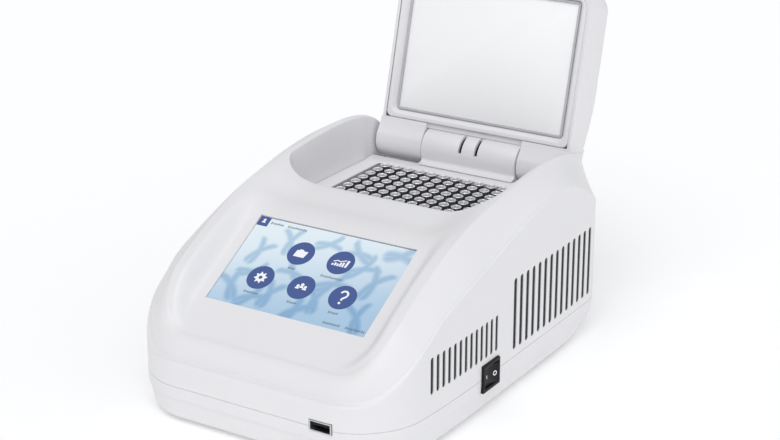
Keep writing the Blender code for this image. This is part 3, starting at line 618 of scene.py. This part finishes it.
def screen_frame(height=0.0):
    """Matrix from (x, along the slope, out of the screen) to the block's frame."""
    tilt = Matrix.Rotation(SCREEN_TILT, 4, "X")
    return Matrix.Translation(SCREEN_CENTRE) @ tilt @ Matrix.Translation((0, 0, height))


def hood():
    half_x, half_s = SCREEN_HALF_X + FIT, SCREEN_HALF_S + FIT
    window = box((-half_x, -half_s, -8), (half_x, half_s, 8))
    window.transform(screen_frame())
    mesh = modified(hood_skin(), wall(SHELL), minus(joined(window, slots(8, -6), wall_openings())))
    piece("hood", mesh, BLOCK, "white_plastic", ["upper_housing"], sharp=32)
    # Black plugs set just behind each side slot's face: painted shade, so the slots read dark.
    piece("slot_painted_shade", slots(2.4, 0.5, 0.02), BLOCK, "black_plastic", [])


def base():
    """The tray under the seam: a step, then walls that curve in to the floor, and a hollow inside."""
    seam = SEAM_Z - SEAM_GAP
    lower = (96.4, -196.8, 75.5, 40.0, 29.0)
    step = (95.5, -195.9, 74.5, 39.5, 29.0)
    middle = (94.3, -194.6, 64.0, 38.0, 31.0)
    floor = (91.1, -191.5, 40.0, 35.0, 30.0)
    sections = [
        (seam, inset(WALL, SEAM_CHAMFER)), (seam - SEAM_CHAMFER, WALL), (SEAM_Z - 2.5, WALL),
        (GROOVE_Z + 0.5, lower), (GROOVE_Z, inset(lower, 0.12)), (GROOVE_Z - 0.45, inset(step, -0.1)),
        (GROOVE_Z - 0.9, step), (-84, mixed(step, middle, 0.42)), (-87.5, mixed(step, middle, 0.86)),
    ]
    for turn in np.radians(np.linspace(10, 90, 7)):
        share = 1 - math.cos(turn)
        sections.append((mix(-88, FLOOR_Z, math.sin(turn)), mixed(middle, floor, share)))
    inner = [(seam, WALL), (-85, WALL), (-88.5, middle), (FLOOR_Z + SHELL, floor)]
    sections = [*reversed(sections), *((z, inset(shape, SHELL)) for z, shape in inner)]
    rings = [ring_at(outline(shape, PLAIN, narrowing=NARROWING), z) for z, shape in sections]
    mesh = modified(loft(rings, cap_first=True, cap_last=True), minus(joined(wall_openings(), *fan_slots())))
    piece("base_shell", mesh, BLOCK, "white_plastic", ["base_tray"], sharp=32)


def fan_slots():
    """Slots across each fan, as long as its circle is wide there."""
    for side in (-1, 1):
        for k in range(FAN_SLOTS):
            from_middle = FAN_SLOT_PITCH * (k - (FAN_SLOTS - 1) / 2)
            y = FAN_Y + from_middle
            reach = math.sqrt(FAN_RADIUS**2 - from_middle**2)
            low = (side * FAN_X - reach, y - FAN_SLOT_HALF, -100)
            yield box(low, (side * FAN_X + reach, y + FAN_SLOT_HALF, -85))


def mixed(shape_a, shape_b, t):
    return tuple(mix(a, b, t) for a, b in zip(shape_a, shape_b))


def under(node):
    """A millimetre frame at the middle of the CAD node's lower face, and the node's height."""
    low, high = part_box(node)
    centre = Vector(((low.x + high.x) / 2, (low.y + high.y) / 2, low.z))
    return Matrix.Translation(centre) @ Matrix.Scale(MM, 4), (high.z - low.z) / MM


def feet_and_screws():
    for name in ("front_left", "front_right", "rear_left", "rear_right"):
        centre, height = under("foot_" + name)
        profile = [(6.6, 0), (7.0, 0.15), (7.2, 0.5), (8.3, height - 0.4), (8.2, height)]
        piece("rubber_foot_" + name, turned(profile), centre, "rubber", ["foot_" + name])
        centre, _ = under("base_screw_" + name)
        profile = [(3.3, 0), (3.7, 0.2), (3.8, 0.6), (3.8, 1.8), (1.8, 1.8), (1.8, 15)]
        across, along_y = box((-2.1, -0.4, -1), (2.1, 0.4, 0.9)), box((-0.4, -2.1, -0.9), (0.4, 2.1, 0.8))
        mesh = modified(turned(profile, 32), minus(across), minus(along_y))
        piece("pan_screw_" + name, mesh, centre, "steel", ["base_screw_" + name])


# ---- deck and sample block ----


def deck():
    """Plate round the block. Behind the block it drops to the hinge pocket."""
    profile = (
        (-60, DECK_Z), (-60, DECK_Z - 3), (DECK_BACK_Y, DECK_Z - 3), (DECK_BACK_Y, -14), (76, -14), (76, -12),
        (DECK_BACK_Y + 2, -12), (DECK_BACK_Y + 2, DECK_Z),
    )
    ring = deck_outline(DECK_EDGE_GAP, PLAIN)
    inside = loft([ring_at(ring, -20), ring_at(ring, 5)], cap_first=True, cap_last=True)
    mesh = modified(
        prism(profile, -80, 80),
        ("BOOLEAN", {"operation": "INTERSECT", "object": inside}),
        minus(box((-BLOCK_HOLE_HALF_X, -BLOCK_HOLE_HALF_Y, -10), (BLOCK_HOLE_HALF_X, BLOCK_HOLE_HALF_Y, 10))),
        bevel(0.5, 3, 50),
    )
    piece("deck", mesh, BLOCK, "white_plastic", ["block_surround"])


def well_places():
    for column in range(WELL_COLUMNS):
        for row in range(WELL_ROWS):
            x = (column - (WELL_COLUMNS - 1) / 2) * WELL_PITCH
            y = (row - (WELL_ROWS - 1) / 2) * WELL_PITCH
            yield x, y


def sample_block():
    """A dark plate in a grey rim, with ninety-six bright collars, each with a conical bore."""
    half_x, half_y = BLOCK_HOLE_HALF_X - DECK_EDGE_GAP, BLOCK_HOLE_HALF_Y - DECK_EDGE_GAP
    rim = box((-half_x, -half_y, -9), (half_x, half_y, DECK_Z - 0.6))
    rim = modified(rim, minus(box((-FIELD_HALF_X, -FIELD_HALF_Y, -12), (FIELD_HALF_X, FIELD_HALF_Y, 5))))
    piece("well_plate_rim", rim, BLOCK, "grey_anodised", [])
    body = box((-BLOCK_HALF_X, -BLOCK_HALF_Y, -BLOCK_HEIGHT), (BLOCK_HALF_X, BLOCK_HALF_Y, WELL_FLOOR_Z - 1))
    field = box((-FIELD_HALF_X, -FIELD_HALF_Y, -10), (FIELD_HALF_X, FIELD_HALF_Y, WELL_FLOOR_Z))
    body = modified(body, plus(field))
    hole = [(COLLAR_HOLE_RADIUS, -30), (COLLAR_HOLE_RADIUS, 5)]
    holes = [moved(turned(hole, 24), (x, y, 0)) for x, y in well_places()]
    body = modified(body, minus(joined(*holes)))
    piece("well_plate", body, BLOCK, "dark_anodised", ["sample_block"])
    profile = [
        (1.2, -13.4), (1.9, -12.6), (2.35, -4.5), (2.5, -0.9), (2.65, -0.25), (2.8, 0.0), (3.15, 0.0),
        (3.35, -0.2), (3.4, -0.7), (3.1, -1.3), (3.0, -8.4), (2.8, -8.6), (2.2, -14.2), (1.2, -14.6),
    ]
    collar = turned(profile[::-1], 32)
    collars = [moved(collar.copy(), (x, y, 0)) for x, y in well_places()]
    bpy.data.meshes.remove(collar)
    piece("well_collars", joined(*collars), BLOCK, "aluminium", ["sample_block"], sharp=50)


# ---- hinge and lid ----


def hinge_cover():
    """Fixed cover over the middle of the hinge, flared over the deck, with two slots in its crown."""
    half, radius, inside = COVER_HALF_X, COVER_RADIUS, COVER_RADIUS - COVER_THICK
    foot = POCKET_FLOOR + FIT
    outer = arc(radius, 0, 205, 46)
    outer += [(-11.6, -6.1), (-12.0, -6.8), (-12.8, -7.3), (-14.0, -7.7), (-15.4, -7.95), (-16.5, -8.0)]
    outer += [(-16.5, -8.6), (-12.3, -8.6), (-12.3, foot), (3.0, foot), (3.0, -13.4), (radius, -13.4)]
    inner = arc(inside, 0, 180, 24) + [(-inside, -25), (inside, -25)]
    cuts = []
    for x in (-COVER_SLOT_X, COVER_SLOT_X):
        cuts.append(box((x - COVER_SLOT_HALF, -16, 2.5), (x + COVER_SLOT_HALF, -1.5, 20)))
    mesh = modified(
        prism(outer, -half, half),
        minus(prism(inner, COVER_THICK - half, half - COVER_THICK)),
        minus(joined(*cuts)),
        bevel(0.35, 3, 40),
    )
    piece("hinge_hood", mesh, HINGE, "white_plastic", ["hinge_cover"])
    # A thin black sheet just inside the cover's crown, behind its two slots: painted shade, so the slots read
    # dark.
    behind = arc(inside - 0.1, 0, 180, 24) + arc(inside - 0.5, 180, 0, 24)
    piece("cover_slot_painted_shade", prism(behind, -10, 10), HINGE, "black_plastic", [])


def lid_shape(by=0.0, near=-1.0):
    """The lid's plan outline, its front at the far end."""
    return (LID_HALF_X - by, -LID_LENGTH + by, near, max(LID_FAR_RADIUS - by, 3), 3)


def lid_crown(y):
    """Height of the lid's back above the hinge axis, from the hinge to the far end."""
    far = -y / LID_LENGTH
    return mix(11.3, LID_TOP, smooth(far, -0.05, 0.42)) - 0.8 * smooth(far, 0.6, 1.05)


def lid_shell():
    """The lid's hollow back with its two knuckles, and a notch between them that clears the fixed cover."""
    steps = {"front": 30, "corner": 16, "side": 44, "back": 12}
    sections = (  # how far in from the outline, and the share of the height
        (0, 0), (-0.9, 0.22), (-1.6, 0.45), (-1.8, 0.68), (-0.5, 0.86), (3.2, 0.96), (12, 1), (34, 1),
    )
    insets = [(k, by) for k, (by, _) in enumerate(sections)]
    shares = [(k, share) for k, (_, share) in enumerate(sections)]
    rings = []
    for place in np.linspace(0, len(sections) - 1, 36):
        by = float(along(insets, place))
        share = min(float(along(shares, place)), 1)
        points = outline(lid_shape(by, 6 - 0.3 * by), steps, tapered=False)
        rings.append(ring_at(points, mix(LID_FACE, lid_crown(points[:, 1]), share)))
    neck = [(-2, -KNUCKLE_RADIUS)] + arc(KNUCKLE_RADIUS, -80, 90, 40)
    neck += [(-8, 11.7), (-15.3, 12.9), (-15.3, LID_FACE + 0.35), (-13.5, LID_FACE), (-12, LID_FACE - 0.3)]
    neck += [(-8.5, -9.2), (-5, -10.6), (-3.5, -11.2)]
    mesh = modified(
        loft(rings, cap_last=True),
        wall(2.0),
        minus(box((-90, -13.9, -30), (90, 30, 40))),
        plus(prism(neck, -KNUCKLE_OUT_X, KNUCKLE_OUT_X)),
        minus(box((-KNUCKLE_IN_X, -11.0, -30), (KNUCKLE_IN_X, 30, 40))),
        minus(box((-KNUCKLE_IN_X, -17.5, -30), (KNUCKLE_IN_X, 30, -5.2))),
        minus(turned([(COVER_SWEEP_RADIUS, -KNUCKLE_IN_X), (COVER_SWEEP_RADIUS, KNUCKLE_IN_X)], 96, "X")),
        minus(turned([(SHAFT_RADIUS + FIT, -100), (SHAFT_RADIUS + FIT, 100)], 32, "X")),
    )
    piece("lid_shell", mesh, LID, "white_plastic", ["lid_outer_shell"], body="lid")


def ring_frame(sections):
    """A closed frame whose section is given as (outline shape, z) pairs."""
    rings = [ring_at(outline(shape, COARSE, tapered=False), z) for shape, z in sections]
    return loft(rings, closed=True)


def lid_frame():
    """Frame round the lid's window: a narrow face, and a wall that slopes in to the heated plate."""
    outer = (LID_HALF_X - FRAME_GAP, FRAME_GAP - LID_LENGTH, -15.6, LID_FAR_RADIUS - FRAME_GAP, 4)
    face, back = LID_FACE + 0.4, PLATE_FACE + 5
    sections = (
        (inset(outer, 0.5), face), (outer, face + 0.4), (outer, face + 2.6),
        (inset(WINDOW, -1.8), face + 2.6), (inset(WINDOW, -1.8), back), (WINDOW, back),
        (WINDOW, PLATE_FACE - 0.3), (inset(WINDOW, -2.3), face + 0.35),
        (inset(WINDOW, -2.6), face + 0.1), (inset(WINDOW, -3.0), face),
    )
    mesh = ring_frame(sections[::-1])
    piece("lid_frame", mesh, LID, "white_plastic", ["lid_inner_frame"], body="lid")
    strip = inset(WINDOW, 0.3)
    low, high = PLATE_FACE - 1.1, PLATE_FACE - 0.3
    sections = (
        (strip, high), (strip, low + 0.3), (inset(strip, 0.3), low), (inset(strip, 1.3), low),
        (inset(strip, 1.6), low + 0.3), (inset(strip, 1.6), high),
    )
    mesh = ring_frame(sections[::-1])
    piece("lid_seal", mesh, LID, "silicone", ["lid_gasket"], body="lid")


def heated_plate():
    """The pale plate in the lid's window, with a small round edge."""
    shape = inset(WINDOW, 0.5)
    sections = ((inset(shape, 0.4), 0), (inset(shape, 0.12), 0.12), (shape, 0.4), (shape, 2.6))
    rings = [ring_at(outline(section, COARSE, tapered=False), PLATE_FACE + z) for section, z in sections]
    mesh = loft(rings, cap_first=True, cap_last=True)
    piece("press_plate", mesh, LID, "plate_coating", ["heated_plate"], body="plate")


# ---- screen ----

ICON_RADIUS = 8.85
LABEL_DROP = 11.9  # from an icon's centre down to its label
ICONS = {  # where each icon's disc stands, across and up the screen, and how wide the label under it is
    "folder": (-14.6, 12.9, 5.0), "chart": (13.9, 12.9, 15.5), "gear": (-30.0, -10.6, 10.5),
    "people": (-0.7, -10.6, 7.0), "question": (28.4, -10.6, 7.0),
}


def flat(points, low=0.05, high=0.1):
    """A thin plate from an anticlockwise outline."""
    return loft([ring_at(np.array(points, float), z) for z in (low, high)], cap_first=True, cap_last=True)


def stroke(points, width, low=0.05, high=0.1):
    """A thin ribbon along a line of points."""
    points = np.array(points, float)
    ahead = np.gradient(points, axis=0)
    ahead /= np.linalg.norm(ahead, axis=1)[:, None]
    aside = np.column_stack([-ahead[:, 1], ahead[:, 0]]) * width / 2
    return flat(np.concatenate([points - aside, (points + aside)[::-1]]), low, high)


def dot(x, y, radius, low=0.05, high=0.1):
    return moved(turned([(radius, low), (radius, high)], 24), (x, y, 0))


def person(x, y, size):
    """A head and shoulders."""
    turns = np.radians(np.linspace(0, 180, 13))
    body = np.column_stack([x + 1.35 * size * np.cos(turns), y - 2.2 * size + 1.5 * size * np.sin(turns)])
    return [dot(x, y, 0.95 * size), flat(body)]


def glyphs():
    """White pictures on the discs: a folder, a rising chart, a gear, people and a question mark."""
    folder = [
        (-4.2, -2.9), (3.2, -2.9), (4.4, 2.0), (1.2, 2.0), (0.7, 2.9), (-1.8, 2.9), (-2.2, 2.0), (-3.6, 2.0),
    ]
    shapes = {"folder": [flat(folder)], "chart": [], "gear": [], "people": [], "question": []}
    for k, top in enumerate((-1.4, -0.5, -1.0, 0.1, 0.6)):
        left = -5.4 + 1.75 * k
        shapes["chart"].append(flat([(left, -2.8), (left + 1.3, -2.8), (left + 1.3, top), (left, top)]))
    shapes["chart"].append(stroke([(-5.2, 0.1), (-2.6, 1.3), (-0.6, 0.7), (3.2, 2.4)], 0.7))
    shapes["chart"].append(flat([(3.6, -2.8), (5.0, -2.8), (5.6, 2.6), (4.0, 2.6)]))
    teeth = []
    for k in range(40):
        radius = 4.3 if k % 5 in (1, 2) else 3.1
        turn = math.tau * k / 40
        teeth.append((radius * math.cos(turn), radius * math.sin(turn)))
    shapes["gear"].append(flat(teeth))
    shapes["people"] += person(0, 2.0, 1.15) + person(-2.6, 0.7, 1.0) + person(2.6, 0.7, 1.0)
    turns = np.radians(np.linspace(165, -60, 16))
    hook = [(2.4 * math.cos(turn), 2.2 + 2.4 * math.sin(turn)) for turn in turns]
    shapes["question"].append(stroke([*hook, (0.2, -0.9), (0.0, -2.3)], 1.3))
    shapes["question"].append(dot(-0.1, -4.3, 0.85))
    for name, meshes in shapes.items():
        x, y, _ = ICONS[name]
        for mesh in meshes:
            yield moved(mesh, (x, y, 0))
    badge_x, badge_y = 3.8 - SCREEN_HALF_X, SCREEN_HALF_S - 3.6
    yield from person(badge_x, badge_y + 1.1, 1.0)


def dashes(left, right, y, tall=1.7):
    """A row of small upright strokes that stands for a line of text."""
    count = max(round((right - left) / 1.35), 2)
    for k in range(count):
        x = mix(left, right, (k + 0.5) / count)
        low = y - tall / 2 + 0.25 * (k % 3 == 1)
        high = y + tall / 2 - 0.3 * (k % 4 != 0)
        yield flat([(x - 0.42, low), (x + 0.3, low), (x + 0.42, high), (x - 0.3, high)], 0, 0.05)


def screen():
    """The lit pane, whose grid of points carries the picture's colours, and the flat marks on it."""
    columns, rows = 240, 144
    across, up = np.meshgrid(
        np.linspace(-SCREEN_HALF_X, SCREEN_HALF_X, columns), np.linspace(-SCREEN_HALF_S, SCREEN_HALF_S, rows)
    )
    u, v = across.ravel(), up.ravel()
    corner = np.arange((rows - 1) * columns).reshape(rows - 1, columns)[:, :-1].ravel()
    quads = np.column_stack([corner, corner + 1, corner + columns + 1, corner + columns])
    mesh = mesh_of(np.column_stack([u, v, 0 * u]), quads.tolist())
    picture = mesh.attributes.new("picture", "FLOAT_COLOR", "POINT")
    picture.data.foreach_set("color", screen_colours(u, v).ravel())
    place = BLOCK @ screen_frame(-0.6)
    piece("screen_pane", modified(mesh, wall(2.2)), place, "display", ["display_glass"])
    disc = [(ICON_RADIUS, 0), (ICON_RADIUS, 0.05)]
    discs = [moved(turned(disc, 64), (x, y, 0)) for x, y, _ in ICONS.values()]
    left, top = -SCREEN_HALF_X, SCREEN_HALF_S
    discs.append(flat([(left, top - 7.2), (left + 7.6, top - 7.2), (left + 7.6, top), (left, top)], 0, 0.05))
    piece("icon_discs", joined(*discs), place, "icon_blue", [])
    piece("icon_glyphs", joined(*glyphs()), place, "icon_white", [])
    piece("gear_hub", dot(*ICONS["gear"][:2], 1.25, 0.1, 0.13), place, "icon_blue", [])
    text = []
    for x, y, wide in ICONS.values():
        text += dashes(x - wide / 2, x + wide / 2, y - LABEL_DROP)
    text += [*dashes(left + 9, left + 18.5, top - 3.6), *dashes(left + 21.5, left + 35.5, top - 3.6)]
    text += [*dashes(25.5, 37.5, 3.4 - top), *dashes(41, 54.5, 3.4 - top)]
    edge = [(left, top - 0.35), (-left, top - 0.35), (-left, top), (left, top)]
    piece("screen_marks", joined(*text, flat(edge, 0, 0.04)), place, "label_grey", [])


def screen_colours(u, v):
    """Pale at the top left and blue below, with soft chromosome-like crosses."""
    rise = smooth(v - 0.25 * u, -SCREEN_HALF_S - 8, SCREEN_HALF_S + 4)[:, None]
    colour = mix(np.array([0.36, 0.52, 0.68]), np.array([0.70, 0.78, 0.83]), rise)
    shade = np.zeros(len(u))
    crosses = (  # where each stands, its heading in degrees, the reach of its arms and their width
        (-42, 8, 70, 9, 1.9), (-26, 20, 100, 9, 1.8), (-46, -20, 120, 10, 2.2), (-28, -25, 40, 10, 2.0),
        (-12, -2, 150, 9, 1.9), (4, -27, 60, 11, 2.4), (18, -3, 30, 11, 2.2), (22, 22, 160, 9, 2.0),
        (42, 4, 75, 11, 2.1), (44, -22, 110, 10, 2.0), (0, 24, 20, 8, 1.8), (48, 27, 15, 8, 2.6),
        (-38, -8, 15, 9, 1.8), (12, -16, 100, 9, 2.1), (30, 12, 40, 10, 1.9), (-18, -20, 80, 9, 2.2),
    )
    for x, y, heading, reach, width in crosses:
        for bend in (-22, 22):
            turn = math.radians(heading + bend)
            ahead = (u - x) * math.cos(turn) + (v - y) * math.sin(turn)
            aside = (u - x) * -math.sin(turn) + (v - y) * math.cos(turn)
            beyond = np.maximum(np.abs(ahead) - reach, 0)
            distance = np.hypot(beyond, aside - 0.02 * ahead**2 * math.copysign(1, bend))
            shade = np.maximum(shade, 1 - smooth(distance, width * 0.2, width * 1.9))
    colour = mix(colour, colour * np.array([0.50, 0.66, 0.80]), 0.85 * shade[:, None])
    return np.column_stack([colour, np.ones(len(u))])


# ---- switch and sockets ----


def rocker_switch():
    place = BLOCK @ Matrix.Translation((0, SWITCH_Y, SWITCH_Z))
    mesh = modified(
        box((76, -SWITCH_HALF_Y, -SWITCH_HALF_Z), (SWITCH_FACE_X, SWITCH_HALF_Y, SWITCH_HALF_Z)),
        minus(box((84, -8.3, -6.6), (110, 8.3, 6.6))),
        bevel(0.5, 3, 50),
    )
    piece("switch_bezel", mesh, place, "black_plastic", ["switch_frame"])
    # Top view of the rocker: a shallow V, drawn level and then tipped so that its rear end is proud.
    profile = [
        (7.6, 4.0), (7.4, 0), (4, -4), (-4, -4), (-7.4, 0), (-7.6, 4.0), (-5.8, 2.87), (0, 2.1), (5.8, 2.87),
    ]
    rings = [np.array([(x, y, z) for y, x in profile]) for z in (6.2, -6.2)]
    mesh = modified(loft(rings, cap_first=True, cap_last=True), bevel(0.35, 3, 40))
    tip = Matrix.Rotation(-ROCKER_TIP, 4, "Z")
    place = BLOCK @ Matrix.Translation((ROCKER_AXIS_X, SWITCH_Y, SWITCH_Z)) @ tip
    piece("rocker", mesh, place, "black_plastic", ["switch_rocker"], body="rocker")
    ring = turned([(1.0, -0.05), (1.6, -0.05), (1.6, 0.05), (1.0, 0.05)], 24, closed=True)
    bar = box((-1.1, -0.3, -0.05), (1.1, 0.3, 0.05))
    upright = Matrix.Rotation(math.pi / 2, 3, "Y")
    for name, mark, y, lean in (("on_bar", bar, -4.0, 7.5), ("off_ring", ring, 4.0, -7.5)):
        mark = moved(mark, (2.72, y, 0), Matrix.Rotation(math.radians(lean), 3, "Z") @ upright)
        piece("rocker_" + name, mark, place, "print_white", [], body="rocker")


def usb_port():
    place = BLOCK @ Matrix.Translation((USB_X, USB_Y, USB_Z))
    shell = modified(
        box((-7.4, 0, -3.3), (7.4, 15, 3.3)), minus(box((-6.7, -1, -2.6), (6.7, 14, 2.6))), bevel(0.2, 2, 50),
    )
    piece("usb_shell", shell, place, "steel", ["usb_socket"])
    tongue = modified(box((-5.8, 1.2, 0.2), (5.8, 13.6, 2.0)), bevel(0.2, 2, 50))
    piece("usb_contact_bar", tongue, place, "black_plastic", ["usb_tongue"])


def mains_inlet():
    place = BLOCK @ Matrix.Translation((INLET_X, INLET_Y, INLET_Z))
    body = modified(
        box((-13.6, -24, -10.1), (13.6, 1, 10.1)),
        plus(box((-16.5, 0.4, -12.5), (16.5, 2.6, 12.5))),
        minus(box((-12, -14, -8.2), (12, 5, 8.2))),
        bevel(0.5, 3, 50),
    )
    piece("appliance_inlet", body, place, "black_plastic", ["mains_inlet"])


# ---- what stays from the CAD model ----


def finish_cad_nodes():
    """Gives every CAD node its slot's material, and smooths the round ones."""
    for name, node in frame["nodes"].items():
        material = LOOKS[SLOTS[name]]
        node.data.materials.clear()
        node.data.materials.append(material)
        node.data.polygons.foreach_set("material_index", np.zeros(len(node.data.polygons), np.int32))
        if name.startswith(("hinge_spring", "hinge_shaft", "fan_rotor")):
            node.data.shade_smooth()
            node.data.set_sharp_from_angle(angle=math.radians(35))


# ---- studio ----

BRIGHT_SIDE = Vector((0.86, -0.32, 0.34)).normalized()
WINDOW_LIGHT_FROM = Vector((0.12, -0.52, 0.84))
CAMERA_LENS = 88.4
CAMERA_EYE = Vector((594.7, -993.6, 413.5))  # millimetres from the sample block
CAMERA_BACKWARD = Vector((0.4962, -0.7944, 0.3504)).normalized()


def studio_floor():
    bm = bmesh.new()
    bmesh.ops.create_grid(bm, x_segments=1, y_segments=1, size=6)
    floor = bpy.data.objects.new("floor", mesh_from(bm))
    material = bpy.data.materials.new("studio_floor")
    material.use_nodes = True
    shader = material.node_tree.nodes["Principled BSDF"]
    shader.inputs["Base Color"].default_value = (0.93, 0.93, 0.93, 1)
    shader.inputs["Roughness"].default_value = 0.9
    shader.inputs["Specular IOR Level"].default_value = 0.1
    shader.inputs["Emission Color"].default_value = (1, 1, 1, 1)
    shader.inputs["Emission Strength"].default_value = 0.155
    floor.data.materials.append(material)
    bpy.context.scene.collection.objects.link(floor)
    floor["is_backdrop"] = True


def surroundings():
    """A pale room, brightest in the direction BRIGHT_SIDE."""
    world = bpy.data.worlds.new("studio")
    world.use_nodes = True
    nodes, links = world.node_tree.nodes, world.node_tree.links
    facing = nodes.new("ShaderNodeVectorMath")
    facing.operation = "DOT_PRODUCT"
    facing.inputs[1].default_value = BRIGHT_SIDE
    links.new(nodes.new("ShaderNodeTexCoord").outputs["Generated"], facing.inputs[0])
    strength = nodes.new("ShaderNodeMapRange")
    strength.inputs["From Min"].default_value = 0.0
    strength.inputs["From Max"].default_value = 1.0
    strength.inputs["To Min"].default_value = 0.50
    strength.inputs["To Max"].default_value = 0.90
    links.new(facing.outputs["Value"], strength.inputs["Value"])
    links.new(strength.outputs["Result"], nodes["Background"].inputs["Strength"])
    nodes["Background"].inputs["Color"].default_value = (0.97, 0.98, 1, 1)
    bpy.context.scene.world = world


def window_light():
    """One broad soft lamp, high in front."""
    sun = bpy.data.lights.new("window", "SUN")
    sun.energy = 1.05
    sun.angle = math.radians(50)
    lamp = bpy.data.objects.new("window", sun)
    lamp.rotation_euler = WINDOW_LIGHT_FROM.to_track_quat("Z", "Y").to_euler()
    bpy.context.scene.collection.objects.link(lamp)
    bpy.context.scene.view_settings.view_transform = "Standard"


def camera():
    data = bpy.data.cameras.new("camera")
    data.lens = CAMERA_LENS
    data.sensor_width = 36
    item = bpy.data.objects.new("camera", data)
    right = Vector((0, 0, 1)).cross(CAMERA_BACKWARD).normalized()
    up = CAMERA_BACKWARD.cross(right)
    turn = Matrix((right, up, CAMERA_BACKWARD)).transposed()
    item.matrix_world = Matrix.Translation(BLOCK @ CAMERA_EYE) @ turn.to_4x4()
    bpy.context.scene.collection.objects.link(item)
    bpy.context.scene.camera = item


make_looks()
hood()
base()
feet_and_screws()
deck()
sample_block()
hinge_cover()
lid_shell()
lid_frame()
heated_plate()
screen()
rocker_switch()
usb_port()
mains_inlet()
finish_cad_nodes()
studio_floor()
surroundings()
window_light()
camera()

({name: [list(corner) for corner in corners] for name, corners in
           (("cad", cad_box), ("visual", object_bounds()))})
